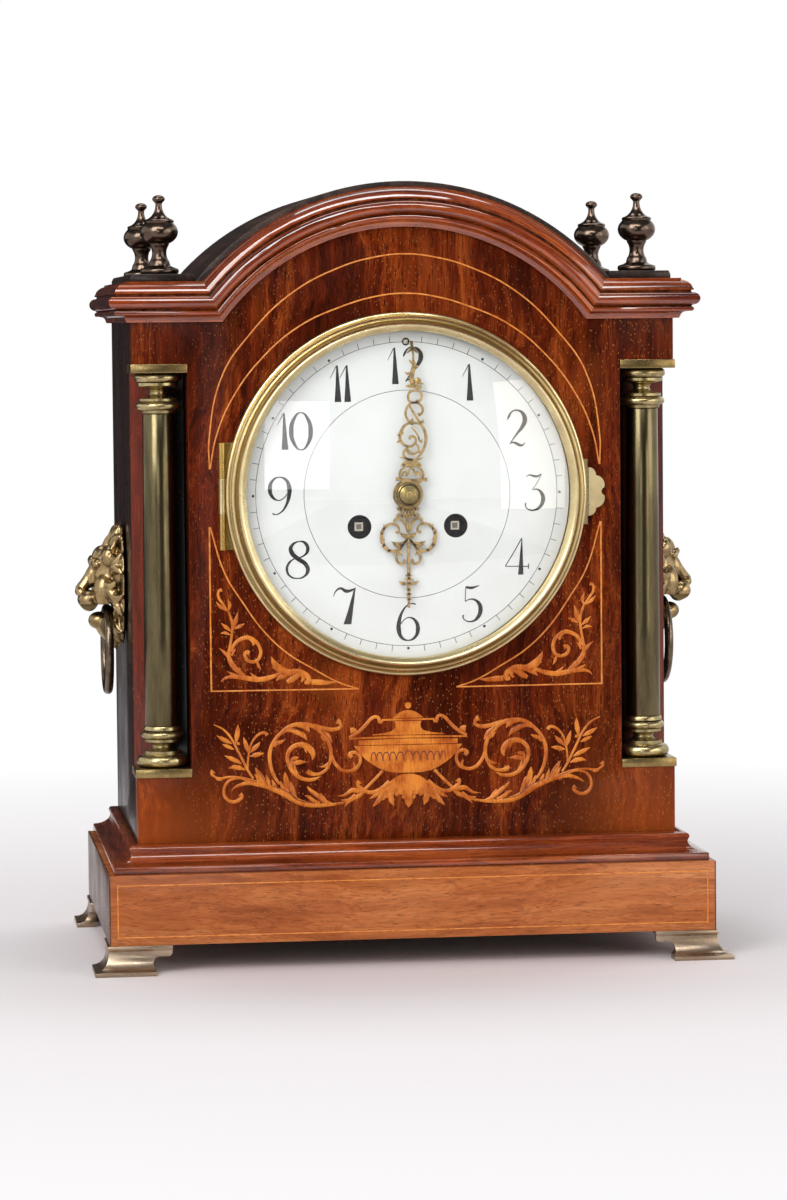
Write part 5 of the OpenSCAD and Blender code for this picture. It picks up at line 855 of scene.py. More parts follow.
FIGURES = {
    "1": {"bars": [[(-0.01, 0.49, 0.02), (0.0, 0.0, 0.05), (0.005, -0.49, 0.085)],
                   [(-0.03, 0.47, 0.012), (-0.11, 0.32, 0.01), (-0.2, 0.15, 0.006)]]},
    "2": {"bars": [[(-0.24, 0.24, 0.01), (-0.21, 0.32, 0.03), (-0.1, 0.47, 0.018), (0.05, 0.49, 0.022),
                    (0.18, 0.41, 0.045), (0.235, 0.24, 0.062), (0.17, 0.06, 0.05), (0.02, -0.13, 0.027),
                    (-0.13, -0.33, 0.014), (-0.19, -0.42, 0.012)],
                   [(-0.19, -0.42, 0.01), (-0.11, -0.37, 0.02), (0, -0.4, 0.037), (0.1, -0.45, 0.037),
                    (0.18, -0.44, 0.018), (0.23, -0.37, 0.008)]]},
    "3": {"bars": [[(-0.2, 0.42, 0.008), (-0.12, 0.47, 0.017), (0, 0.44, 0.03), (0.1, 0.43, 0.03),
                    (0.22, 0.5, 0.008)],
                   [(0.22, 0.5, 0.01), (0.06, 0.2, 0.01), (-0.04, 0.07, 0.01)],
                   [(-0.04, 0.07, 0.01), (0.1, 0.08, 0.02), (0.22, -0.03, 0.045), (0.26, -0.18, 0.055),
                    (0.18, -0.38, 0.045), (0.02, -0.48, 0.02), (-0.15, -0.46, 0.014), (-0.23, -0.36, 0.014),
                    (-0.22, -0.28, 0.02)]]},
    "4": {"shapes": [[(0.02, -0.5), (0.17, -0.5), (0.14, 0.5), (0.122, 0.5)]],
          "bars": [[(0.125, 0.49, 0.012), (-0.1, 0.1, 0.012), (-0.33, -0.26, 0.012)],
                   [(-0.33, -0.265, 0.012), (0.0, -0.27, 0.012), (0.31, -0.28, 0.012)],
                   [(0.31, -0.2, 0.01), (0.31, -0.35, 0.01)]]},
    "5": {"bars": [[(-0.14, 0.45, 0.03), (0, 0.43, 0.035), (0.22, 0.49, 0.008)],
                   [(-0.15, 0.47, 0.01), (-0.16, 0.28, 0.011), (-0.17, 0.07, 0.012)],
                   [(-0.17, 0.06, 0.01), (-0.05, 0.12, 0.014), (0.1, 0.1, 0.027), (0.22, -0.02, 0.05),
                    (0.25, -0.18, 0.058), (0.17, -0.38, 0.045), (0.02, -0.48, 0.02), (-0.15, -0.46, 0.014),
                    (-0.23, -0.37, 0.014), (-0.22, -0.3, 0.02)]]},
    "6": {"bars": [[(0.2, 0.47, 0.02), (0.12, 0.5, 0.014), (-0.02, 0.45, 0.017), (-0.17, 0.26, 0.03),
                    (-0.25, 0, 0.05), (-0.26, -0.2, 0.06), (-0.18, -0.42, 0.04), (0, -0.5, 0.015),
                    (0.18, -0.42, 0.035), (0.26, -0.2, 0.055), (0.2, 0.02, 0.04), (0.04, 0.12, 0.015),
                    (-0.1, 0.07, 0.012), (-0.2, -0.05, 0.012)]]},
    "7": {"shapes": [[(0.265, 0.47), (0.305, 0.5), (0.28, 0.3), (0.23, -0.1), (0.18, -0.5), (-0.035, -0.5),
                      (0.07, -0.2), (0.17, 0.15)]],
          "bars": [[(-0.3, 0.25, 0.006), (-0.235, 0.4, 0.017), (-0.11, 0.475, 0.03), (0.04, 0.4, 0.045),
                    (0.19, 0.42, 0.03), (0.3, 0.485, 0.008)]]},
    "8": {"loops": [[(0.056, 0.495, 0.012), (-0.17, 0.345, 0.045), (-0.155, 0.2, 0.06), (0.01, 0.03, 0.055),
                     (0.22, -0.125, 0.055), (0.277, -0.29, 0.05), (0.17, -0.455, 0.025), (0, -0.5, 0.014),
                     (-0.2, -0.44, 0.025), (-0.286, -0.265, 0.035), (-0.225, -0.08, 0.03), (-0.108, 0.015, 0.016),
                     (0.174, 0.11, 0.02), (0.277, 0.25, 0.045), (0.22, 0.44, 0.04)]]},
    "0": {"loops": [[(0, 0.5, 0.014), (-0.2, 0.3, 0.045), (-0.26, 0, 0.06), (-0.2, -0.3, 0.045),
                     (0, -0.5, 0.014), (0.2, -0.3, 0.045), (0.26, 0, 0.06), (0.2, 0.3, 0.045)]]},
}
FIGURES["9"] = {"bars": [[(-x, -z, half) for x, z, half in bar] for bar in FIGURES["6"]["bars"]]}

# Each hour's figures, and how far across they stand in figure heights
HOURS = {hour: [(str(hour), 0)] for hour in range(1, 10)}
HOURS.update({10: [("1", -0.31), ("0", 0.13)], 11: [("1", -0.13), ("1", 0.13)], 12: [("1", -0.3), ("2", 0.17)]})

FIGURE_HEIGHT = 17.0
FIGURE_WEIGHT = 1.22
FIGURE_RADIUS = 58.6

# Front of the enamel: its edge, its rise and the radius of its ball
DIAL_R = 75.2
DIAL_EDGE_Y = -2.4
DIAL_RISE = 2.0
DIAL_BALL = (DIAL_R ** 2 + DIAL_RISE ** 2) / (2 * DIAL_RISE)


def enamel_y(x, z):
    """Depth of the enamel's front at a place on the dial, measured from the dial's centre."""
    return FRONT_Y + DIAL_EDGE_Y - DIAL_RISE + DIAL_BALL - math.sqrt(DIAL_BALL ** 2 - x * x - z * z)


PRESS = 0.05
SUNK = 0.06
VENEER = 0.05


def lay_on_face(piece, face, proud):
    """Presses a drawing nearly flat: its front stands proud of a face, its back goes down into it."""
    move_points(piece, lambda x, y, z: (x, face + (y * PRESS - proud if y < 1e-4 else SUNK), z))


def lay_on_enamel(piece, proud):
    """Presses a drawing about the hands' centre on to the domed enamel."""
    move_points(piece, lambda x, y, z: (
        x, enamel_y(x, z) + (y * PRESS - proud if y < 1e-4 else SUNK), z + DIAL_Z))


# ---------------------------------------------------------------- finishes of the clock

front_tones = (colour(50, 13, 3), colour(112, 38, 10), colour(176, 84, 30), colour(20, 5, 2))
plinth_tones = (colour(144, 72, 30), colour(190, 108, 56), colour(218, 142, 86), colour(86, 40, 16))
cornice_tones = (colour(76, 20, 5), colour(158, 66, 24), colour(214, 112, 54), colour(34, 10, 4))
side_tones = (colour(22, 11, 8), colour(44, 24, 18), colour(74, 44, 34), colour(10, 5, 4))
roof_tones = (colour(22, 14, 11), colour(50, 35, 29), colour(88, 64, 54), colour(8, 5, 5))

QUARTER = math.pi / 2
# Its corners take painted light low at the sides and painted shade high under the cornice.
front_wood = wood_finish("figured_front_wood", front_tones, size=60.0, waviness=0.05, coat=0.06, speck=0.6,
                         flame=0.75, pores=0.8, polish=0.05, corners=(0.55, 0.3))
# The plinth's ends, beyond 139.3 mm from the middle, take darker, greyer tones: painted shade and reflection.
plinth_wood = wood_finish("pale_plinth_wood", plinth_tones, turn=(0, QUARTER, 0), size=40.0, waviness=0.03,
                          coat=0.15, edge=0.65, pores=0.5, speck=0.3, flame=0.4, polish=0.2,
                          second=(colour(62, 40, 30), colour(100, 68, 52), 139.3, False))
cornice_run = {"Mitre foot": 0.0839, "Mitre lean": 0.46}
cornice_wood = wood_finish("moulded_cornice_wood", cornice_tones, run=cornice_run, size=70.0, waviness=0.01,
                           coat=1.0, edge=0.6, gloss=(0.16, 0.28), flame=0.3, polish=0.05, groove=1.0,
                           film=0.05, depth=2.0)
moulding_wood = wood_finish("plinth_moulding_wood", cornice_tones, run={"Mitre foot": -1.0}, size=70.0,
                            waviness=0.01, coat=0.7, edge=0.8, gloss=(0.2, 0.36), flame=0.4, polish=0.2,
                            groove=0.95, film=0.08, depth=1.8)
# The second tones are the recess lining beside the columns, darkened near them as painted shadow.
side_wood = wood_finish("dark_side_wood", side_tones, size=50.0, waviness=0.025, coat=0.25, gloss=(0.26, 0.4),
                        polish=0.2,
                        second=(colour(58, 16, 6), colour(140, 48, 16), SIDE_X - 0.4, True))
roof_wood = wood_finish("darkened_roof_wood", roof_tones, turn=(QUARTER, 0, 0), size=42.0, waviness=0.02,
                        coat=0.25, gloss=(0.32, 0.5), speck=0.3)
back_wood = wood_finish("plain_back_wood", side_tones, size=38.0, waviness=0.03, coat=0.15, gloss=(0.35, 0.5))
base_wood = wood_finish("base_board_wood", side_tones, turn=(0, QUARTER, 0), size=38.0, waviness=0.02, coat=0.1,
                        gloss=(0.4, 0.55))


def inlay_finish():
    """Pale veneer inlay, its tone drifting from straw to burnt amber."""
    finish, tree, shader, place = new_finish("amber_inlay", {"Metallic": 0.0, "Coat Roughness": 0.12,
                                                             "Specular IOR Level": 0.25})
    drift = noise(tree, place, 130.0, 3.0, 0.6)
    grain = noise(tree, stretched(tree, place, (1.0, 1.0, 0.12)), 1500.0, 3.0, 0.6)
    tone = spread(tree, reckon(tree, "ADD", reckon(tree, "MULTIPLY", drift, 0.7),
                               reckon(tree, "MULTIPLY", grain, 0.3)), 0.38, 0.62)
    tree.links.new(mixed(tree, tone, colour(176, 80, 12), colour(230, 138, 48)), shader["Base Color"])
    tree.links.new(spread(tree, grain, 0.3, 0.7, 0.24, 0.36), shader["Roughness"])
    tree.links.new(spread(tree, drift, 0.3, 0.7, 0.1, 0.2), shader["Coat Weight"])
    bump(tree, shader, grain, 0.15, 0.00005)
    return finish


def line_finish(name, low, high):
    """A fine inlaid line or burnt line, a little uneven along its run."""
    finish, tree, shader, place = new_finish(name, {"Metallic": 0.0, "Coat Roughness": 0.12})
    drift = noise(tree, place, 320.0, 4.0, 0.65)
    tree.links.new(mixed(tree, spread(tree, drift, 0.36, 0.64), low, high), shader["Base Color"])
    tree.links.new(spread(tree, drift, 0.3, 0.7, 0.26, 0.4), shader["Roughness"])
    bump(tree, shader, drift, 0.1, 0.00004)
    return finish


def enamel_finish():
    """Fired white enamel with a very faint warm mottle."""
    finish, tree, shader, place = new_finish("white_enamel", {"Metallic": 0.0, "Coat Roughness": 0.04, "IOR": 1.5})
    mottle = noise(tree, place, 34.0, 4.0, 0.6)
    tree.links.new(mixed(tree, spread(tree, mottle, 0.35, 0.7), colour(209, 211, 211), colour(201, 202, 201)),
                   shader["Base Color"])
    tree.links.new(spread(tree, mottle, 0.3, 0.7, 0.1, 0.2), shader["Roughness"])
    tree.links.new(spread(tree, mottle, 0.3, 0.7, 0.6, 0.4), shader["Coat Weight"])
    bump(tree, shader, mottle, 0.05, 0.0002)
    return finish


def print_finish():
    """Black fired paint of the figures, thinner in places."""
    finish, tree, shader, place = new_finish("fired_black", {"Metallic": 0.0, "Specular IOR Level": 0.2})
    thin = noise(tree, place, 900.0, 3.0, 0.6)
    tree.links.new(mixed(tree, spread(tree, thin, 0.5, 0.8), colour(7, 7, 9), colour(30, 29, 29)),
                   shader["Base Color"])
    tree.links.new(spread(tree, thin, 0.3, 0.7, 0.16, 0.3), shader["Roughness"])
    return finish


def glass_finish(name):
    """Clear glass that lets the lamps' light through without a hard shadow."""
    finish, tree, shader, place = new_finish(name, {"Base Color": (0.985, 0.995, 0.99, 1), "Metallic": 0.0,
                                                    "Transmission Weight": 1.0, "IOR": 1.46})
    smear = noise(tree, place, 22.0, 4.0, 0.7)
    tree.links.new(spread(tree, smear, 0.62, 0.9, 0.0, 0.035), shader["Roughness"])
    clear = put(tree, "ShaderNodeBsdfTransparent", {"Color": (0.96, 0.97, 0.97, 1)})
    shadow = put(tree, "ShaderNodeLightPath").outputs["Is Shadow Ray"]
    glass = next(n for n in tree.nodes if n.type == "BSDF_PRINCIPLED")
    both = put(tree, "ShaderNodeMixShader", {0: shadow, 1: glass.outputs[0], 2: clear.outputs[0]})
    out = next(n for n in tree.nodes if n.type == "OUTPUT_MATERIAL")
    tree.links.new(both.outputs[0], out.inputs["Surface"])
    return finish


def shade_finish():
    """The deep shade in the winding holes."""
    finish, tree, shader, place = new_finish("hole_shade", {"Metallic": 0.0, "Specular IOR Level": 0.0})
    shade_mottle = noise(tree, place, 500.0, 2.0)
    tree.links.new(mixed(tree, shade_mottle, colour(4, 4, 4), colour(12, 11, 10)), shader["Base Color"])
    tree.links.new(spread(tree, shade_mottle, 0.0, 1.0, 0.85, 1.0), shader["Roughness"])
    return finish


amber_inlay = inlay_finish()
string_line = line_finish("pale_stringing", colour(208, 112, 32), colour(242, 156, 66))
burnt_line = line_finish("burnt_line", colour(92, 34, 8), colour(146, 62, 18))
white_enamel = enamel_finish()
fired_black = print_finish()
dial_glass_finish = glass_finish("domed_glass")
door_glass_finish = glass_finish("rear_glass")
hole_shade = shade_finish()


def inner_parts(finish):
    """A finish's node tree, its Principled shader's inputs and the object coordinates' parts."""
    tree = finish.node_tree
    shader = next(n for n in tree.nodes if n.type == "BSDF_PRINCIPLED")
    place = put(tree, "ShaderNodeTexCoord").outputs["Object"]
    return tree, shader.inputs, put(tree, "ShaderNodeSeparateXYZ", {0: place}).outputs


def dull_catch(finish):
    """Keeps the catch plate at the bezel's right from shining as the turned rim does."""
    tree, shader, spot = inner_parts(finish)
    beyond = reckon(tree, "GREATER_THAN", spot[0], CATCH_X * MM)
    shine = shader["Roughness"].links[0].from_socket
    tree.links.new(reckon(tree, "MAXIMUM", reckon(tree, "MULTIPLY", beyond, 0.46), shine), shader["Roughness"])


def darken_key_edges(finish):
    """Gives each key square a black edge, painted shade as of the dark hole round it, and a grey heart; the regulator's
    square, above them, stays bright.
    """
    tree, shader, spot = inner_parts(finish)
    beside = reckon(tree, "ABSOLUTE", reckon(
        tree, "SUBTRACT", reckon(tree, "ABSOLUTE", spot[0]), KEY_X * MM))
    above = reckon(tree, "ABSOLUTE", reckon(tree, "SUBTRACT", spot[2], (DIAL_Z - KEY_DROP) * MM))
    out = reckon(tree, "MAXIMUM", beside, above)
    near_key = reckon(tree, "LESS_THAN", spot[2], (DIAL_Z + KEY_DROP / 3) * MM)
    edge = reckon(tree, "MULTIPLY", spread(tree, out, 1.8 * MM, 2.1 * MM), near_key)
    heart = reckon(tree, "MULTIPLY", spread(tree, out, 1.3 * MM, 1.1 * MM), near_key)
    skin = shader["Base Color"].links[0].from_socket
    hearted = mixed(tree, heart, skin, colour(128, 124, 116))
    # The black edge: painted shade round the square.
    tree.links.new(mixed(tree, edge, hearted, colour(14, 13, 12)), shader["Base Color"])


bezel_brass = metal_finish("satin_bezel_brass", colour(236, 218, 168), colour(146, 121, 76), tarnish=0.4, cloud=70.0,
                           recess=0.75, smooth=0.26, dull=0.44, turned=(0, FRONT_Y, DIAL_Z), fineness=1500.0)
dull_catch(bezel_brass)
column_brass = metal_finish("aged_column_brass", colour(196, 178, 130), colour(58, 44, 22), tarnish=0.55, cloud=180.0,
                            recess=0.95, smooth=0.22, dull=0.5)
plate_brass = metal_finish("plate_brass", colour(172, 148, 98), colour(92, 72, 40), tarnish=0.5, cloud=120.0,
                           recess=0.6, smooth=0.24, dull=0.46)
shaft_bronze = metal_finish("streaked_shaft_bronze", colour(118, 107, 78), colour(46, 40, 26), tarnish=0.6,
                            cloud=200.0, recess=0.5, smooth=0.2, dull=0.36, stretch=(1.0, 1.0, 0.12))
finial_bronze = metal_finish("dark_finial_bronze", colour(106, 90, 78), colour(50, 36, 26), tarnish=0.4,
                             cloud=70.0, recess=0.8, smooth=0.2, dull=0.34, relief=0.02)
ring_bronze = metal_finish("dark_ring_bronze", colour(124, 108, 92), colour(44, 34, 26), tarnish=0.7, cloud=150.0,
                           recess=0.8, smooth=0.2, dull=0.4)
lion_brass = metal_finish("cast_lion_brass", colour(182, 156, 112), colour(44, 31, 16), tarnish=0.55, cloud=160.0,
                          recess=1.0, smooth=0.24, dull=0.48)
foot_brass = metal_finish("worn_foot_brass", colour(188, 168, 146), colour(104, 82, 56), tarnish=0.6, cloud=60.0,
                          recess=0.6, smooth=0.3, dull=0.52, relief=0.2)
hand_gilt = metal_finish("hand_gilt", colour(212, 178, 116), colour(54, 35, 16), tarnish=0.8, cloud=420.0,
                         recess=0.9, smooth=0.22, dull=0.4)
hub_gilt = metal_finish("hub_gilt", colour(150, 130, 80), colour(64, 48, 20), tarnish=0.55, cloud=260.0, recess=1.0,
                        smooth=0.2, dull=0.36)
movement_brass = metal_finish("brushed_movement_brass", colour(208, 176, 104), colour(138, 106, 52), tarnish=0.4,
                              cloud=60.0, recess=0.5, smooth=0.24, dull=0.4, stretch=(1.0, 0.3, 6.0))
steel = metal_finish("brushed_steel", colour(186, 188, 192), colour(110, 110, 112), tarnish=0.4, cloud=80.0,
                     recess=0.5, smooth=0.2, dull=0.36, stretch=(4.0, 0.4, 4.0))
key_steel = metal_finish("bright_key_square", colour(214, 206, 190), colour(96, 88, 72), tarnish=0.4, cloud=300.0,
                         recess=0.4, smooth=0.2, dull=0.4)
darken_key_edges(key_steel)
blued_steel = metal_finish("blued_gong_steel", colour(52, 62, 96), colour(22, 24, 38), tarnish=0.5, cloud=70.0,
                           recess=0.5, smooth=0.22, dull=0.36)
black_iron = metal_finish("black_cast_iron", colour(44, 44, 46), colour(20, 20, 22), tarnish=0.6, cloud=120.0,
                          recess=0.6, smooth=0.42, dull=0.6, relief=0.3)


def repaint(node, finish):
    """A CAD node whose shape is right takes a better finish."""
    piece = NODES[node]
    if not piece.material_slots:
        piece.data.materials.append(finish)
    for place in piece.material_slots:
        place.material = finish


REPAINTED = {
    movement_brass: ("dial_pan", "movement_straps", "front_plate", "back_plate", "centre_wheel", "hour_wheel",
                     "minute_wheel", "going_barrel", "going_second_wheel", "third_wheel", "escape_wheel",
                     "suspension_cock", "pendulum_bob", "strike_barrel", "strike_second_wheel", "pin_wheel",
                     "warning_wheel", "fly", "rear_ring", "rear_door"),
    steel: ("strap_screws", "cannon_pinion", "anchor", "pendulum_rod", "hammer", "winding_clicks"),
    key_steel: ("going_winding_arbor", "strike_winding_arbor", "regulator_arbor"),
    blued_steel: ("gong",),
    black_iron: ("gong_stand",),
    white_enamel: ("dial",),
    door_glass_finish: ("rear_door_glass",),
}
for finish, nodes in REPAINTED.items():
    for node in nodes:
        repaint(node, finish)


# ---------------------------------------------------------------- case

place_camera()

eased_node("plinth", "plinth_box", "case", plinth_wood, edge=0.35)
eased_node("plinth_moulding", "moulded_plinth_top", "case", moulding_wood, edge=0.1)
eased_node("base_board", "underside_board", "case", base_wood, edge=0.3)
eased_node("case_front", "front_panel", "case", front_wood, edge=0.25)
eased_node("case_side_left", "left_case_side", "case", side_wood, edge=0.25)
eased_node("case_side_right", "right_case_side", "case", side_wood, edge=0.25)
eased_node("case_back", "back_board", "case", back_wood, edge=0.25)
eased_node("shoulder_boards", "shoulder_planks", "case", roof_wood, edge=0.2)
eased_node("arched_roof", "barrel_roof", "case", roof_wood, edge=0.3, angle=50)
eased_node("cornice_moulding", "mitred_cornice", "case", cornice_wood, edge=0.0, smooth=40)
eased_node("shoulder_caps", "corner_caps", "case", roof_wood, edge=0.3)

# ---------------------------------------------------------------- brass on the case

eased_node("bracket_feet", "four_bracket_feet", "case", foot_brass, edge=0.3)
for word in ("left", "right"):
    low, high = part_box("column_" + word)
    middle_x, middle_y = ((low + high) / 2 / MM)[:2]
    height = (high.z - low.z) / MM
    foot_r = (high.x - low.x) / 2 / MM
    shaft = turn_piece([(0, 0), (foot_r - 0.3, 0), (foot_r, 0.4), (foot_r - 0.1, height * 0.3),
                        (foot_r - 0.35, height * 0.7), (foot_r - 0.62, height - 0.4), (foot_r - 0.9, height),
                        (0, height)], (middle_x, middle_y, low.z / MM), "Z", 72)
    finish_piece(shaft, word + "_column_shaft", "case", shaft_bronze,
                 stands_for=("column_" + word,), smooth=40)
eased_node("column_plates", "recess_plates", "case", plate_brass, edge=0.3)
eased_node("bezel_ring", "bezel_rim", "bezel", bezel_brass, edge=0.0, smooth=40)

COLUMN = (112.5, -52.0)

# Outlines of (radius, height) from the foot up
base_outline = ([(0, 0), (9.8, 0)] + oval(9.4, 2.9, 2.6, 2.9, -80, 80, 14) + [(8.7, 6), (8.7, 7.5)]
                + oval(8.3, 9.6, 3.7, 2, 260, 100, 10) + [(8.3, 11.7), (8.3, 12.9)]
                + oval(7.4, 14.9, 2.4, 1.9, -80, 80, 12) + [(8.6, 17), (8.6, 18.4), (8.1, 19), (0, 19)])
capital_outline = ([(0, 0), (8.2, 0), (8.4, 1.2)] + oval(8.2, 3.2, 2.4, 2, -80, 80, 12)
                   + [(8.9, 5.5), (8.9, 6.6), (6.4, 7.3)] + oval(6, 9.4, 2.2, 1.9, 250, 110, 10)
                   + [(9.2, 12.3), (9.5, 12.6), (9.5, 13.8)] + oval(8.6, 16.2, 2.4, 2.2, -80, 90, 12)
                   + [(0, 18.4)])
finial_outline = ([(0, 0), (8.4, 0)] + oval(8, 1.3, 0.9, 1.3, -90, 90, 10) + [(6.2, 3.2), (5, 3.9)]
                  + oval(6.7, 9.6, 3.4, 4.8, 230, 135, 12) + [(4.5, 13.4), (4.5, 14.2)]
                  + oval(0, 19.2, 8.7, 6.2, 302, 395, 16) + [(6.6, 23.4), (6.9, 24.2), (6.4, 24.8)]
                  + oval(7.4, 31.6, 5.9, 6.9, 255, 180, 10) + [(1.5, 32.2)] + oval(0, 34.2, 2.9, 1.8, 320, 450, 12))


def turn_set(name, outline, places, body, finish, node):
    """The same turned piece at several places, as one object."""
    first = turn_piece(outline, places[0], "Z", 64)
    pieces = [first]
    for place in places[1:]:
        pick_up(first)
        bpy.ops.object.duplicate()
        twin = bpy.context.active_object
        shift = [b - a for a, b in zip(places[0], place)]
        move_points(twin, lambda x, y, z: (x + shift[0], y + shift[1], z + shift[2]))
        pieces.append(twin)
    return finish_piece(join_up(pieces), name, body, finish, stands_for=(node,), smooth=40)


for node, outline in (("column_bases", base_outline), ("column_capitals", capital_outline)):
    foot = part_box(node)[0].z / MM
    turn_set("turned_" + node, outline, [(side * COLUMN[0], COLUMN[1], foot) for side in (-1, 1)],
             "case", column_brass, node)
low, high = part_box("finials")
FINIAL_R = 8.9
finial_x = high.x / MM - FINIAL_R
turn_set("turned_finials", finial_outline,
         [(side * finial_x, y, low.z / MM) for side in (-1, 1)
          for y in (low.y / MM + FINIAL_R, high.y / MM - FINIAL_R)],
         "case", finial_bronze, "finials")

# Domed glass, from the middle of its front round its rim and back
GLASS_R = 76.2
GLASS_RISE = 9.5
GLASS_BALL = (GLASS_R ** 2 + GLASS_RISE ** 2) / (2 * GLASS_RISE)
GLASS_THICK = 1.8
DOME_STEPS = 28
glass_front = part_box("bezel_glass")[0].y / MM
dome_turn = math.degrees(math.asin(GLASS_R / GLASS_BALL))
dome = [(GLASS_BALL * math.sin(math.radians(dome_turn * i / DOME_STEPS)),
         GLASS_BALL * (1 - math.cos(math.radians(dome_turn * i / DOME_STEPS)))) for i in range(DOME_STEPS + 1)]
glass = turn_piece(dome + [(r, y + GLASS_THICK) for r, y in reversed(dome)], (0, glass_front, DIAL_Z), "Y", 128)
finish_piece(glass, "domed_dial_glass", "bezel", dial_glass_finish, stands_for=("bezel_glass",),
             smooth=60)

# ---------------------------------------------------------------- inlay

def fuller(strokes, factor):
    """The same strokes drawn broader."""
    return [[(x, z, half * factor + 0.04) for x, z, half in stroke] for stroke in strokes]


leaves = draw_strokes(fuller(FRIEZE_LEAVES, 1.22), sides=1)
lay_on_face(leaves, FRONT_Y, 0.03)
middle_leaves = [s for s in URN_LEAVES if s[0][0] == 0]
urn = draw_strokes(fuller([s for s in URN_LEAVES if s[0][0] != 0], 1.2), sides=1)
lay_on_face(urn, FRONT_Y, 0.037)
bodies = cut_shapes(URN_BODIES)
move_points(bodies, lambda x, y, z: (x, FRONT_Y + (-0.033 if y < 0 else SUNK), z))
corners = draw_strokes(fuller(SPANDREL_LEAVES, 1.3), sides=1)
lay_on_face(corners, FRONT_Y, 0.03)
middle = draw_strokes(fuller(middle_leaves, 1.2), sides=1)
lay_on_face(middle, FRONT_Y, 0.045)
scrolls = join_up([mirror_across(join_up([leaves, urn, bodies, corners])), middle])
finish_piece(scrolls, "scroll_foliage_inlay", "case", amber_inlay, smooth=0)

veins = draw_strokes(FRIEZE_VEINS, sides=1)
gadroons = draw_strokes(GADROON_LINES[1:], sides=1)
middle_gadroon = draw_strokes(GADROON_LINES[:1], sides=1)
burnt = join_up([veins, gadroons])
lay_on_face(burnt, FRONT_Y, 0.1)
lay_on_face(middle_gadroon, FRONT_Y, 0.1)
finish_piece(join_up([mirror_across(burnt), middle_gadroon]), "burnt_vein_lines", "case", burnt_line,
             smooth=0)

LINE = 0.4
LINE_PROUD = 0.035


def both_sides(half):
    """A line's left half, ending on the middle, carried on to the right."""
    return half + [(-x, z) for x, z in reversed(half[:-1])]


outer_bow = both_sides([(-90.3, 228), (-90.4, 240.9), (-83.7, 271.3), (-71.8, 288.5), (-52.9, 307), (-29.3, 319.5),
                        (-12.9, 324), (0, 325.3)])
inner_bow = both_sides([(-90.1, 228), (-86.9, 243.4), (-79.1, 260.8), (-64.8, 279.3), (-48.3, 292.8),
                        (-30.6, 300.9), (-13.1, 306), (0, 307.3)])
spandrel_bow = [(-90.4, 201.5), (-83.6, 179.6), (-75.7, 166.6), (-66.4, 153.6), (-55.7, 143.3), (-43.6, 135.7),
                (-31.4, 129), (-22.7, 126.1)]
spandrel_sides = [[(-90.7, 201.5), (-90.7, 126.3)], [(-91.1, 126.3), (-22.7, 126.1)]]


def lined(points, half=LINE):
    """A stroke of even width through these points."""
    return [(x, z, half) for x, z in points]


strings = draw_strokes([lined(outer_bow), lined(inner_bow)], steps=8, sides=1)
corner_strings = mirror_across(draw_strokes([lined(spandrel_bow)] + [lined(s) for s in spandrel_sides], steps=6,
                                            sides=1))
front_strings = join_up([strings, corner_strings])
lay_on_face(front_strings, FRONT_Y, LINE_PROUD)
frame_box = [[(-136, 16.8), (136, 16.8)], [(-136, 40.4), (136, 40.4)], [(-136, 16.4), (-136, 40.8)],
             [(136, 16.4), (136, 40.8)]]
plinth_strings = draw_strokes([lined(s, 0.3) for s in frame_box], steps=2, sides=1)
lay_on_face(plinth_strings, PLINTH_Y, LINE_PROUD)
finish_piece(join_up([front_strings, plinth_strings]), "line_stringing", "case", string_line, smooth=0)

# ---------------------------------------------------------------- painted dial

bars, loops, shapes = [], [], []
for hour, figures in HOURS.items():
    turn = math.radians(30 * hour)
    middle = (FIGURE_RADIUS * math.sin(turn), FIGURE_RADIUS * math.cos(turn))
    for figure, shift in figures:
        def spot(x, z):
            """A figure's own point at its place on the dial."""
            return (middle[0] + (x + shift) * FIGURE_HEIGHT, middle[1] + z * FIGURE_HEIGHT)
        drawn = FIGURES[figure]
        for kind, kept in (("bars", bars), ("loops", loops)):
            kept.extend([(*spot(x, z), half * FIGURE_WEIGHT * FIGURE_HEIGHT) for x, z, half in stroke]
                        for stroke in drawn.get(kind, []))
        shapes += [[spot(x, z) for x, z in shape] for shape in drawn.get("shapes", [])]

MINUTE_RING, MINUTE_END, INNER_RING = 69.5, 72.4, 47.5
DOT_RING, DOT_R = 70.7, 0.62
HAIRLINE = 0.13
for step in range(60):
    turn = math.radians(6 * step)
    if step % 5:
        shapes.append([(r * math.sin(turn) + w * math.cos(turn), r * math.cos(turn) - w * math.sin(turn))
                       for r, w in ((MINUTE_RING, -HAIRLINE), (MINUTE_END, -HAIRLINE),
                                    (MINUTE_END, HAIRLINE), (MINUTE_RING, HAIRLINE))])
    else:
        shapes.append([(DOT_RING * math.sin(turn) + DOT_R * math.cos(a),
                        DOT_RING * math.cos(turn) + DOT_R * math.sin(a))
                       for a in [math.tau * i / 16 for i in range(16)]])


def ring_line(radius, half):
    """A thin circle about the hands' centre."""
    return [(radius * math.sin(math.tau * i / 32), radius * math.cos(math.tau * i / 32), half) for i in range(32)]


figures = join_up([draw_strokes(bars, steps=5, sides=1), draw_strokes(loops, steps=5, sides=1, closed=True),
                   draw_strokes([ring_line(MINUTE_RING, HAIRLINE), ring_line(INNER_RING, HAIRLINE)], steps=5,
                                sides=1, closed=True)])
lay_on_enamel(figures, 0.025)
plates = cut_shapes(shapes)
move_points(plates, lambda x, y, z: (x, enamel_y(x, z) + (-0.03 if y < 0 else 0.05), z + DIAL_Z))
finish_piece(join_up([figures, plates]), "painted_hours_and_minutes", "case", fired_black, smooth=0)
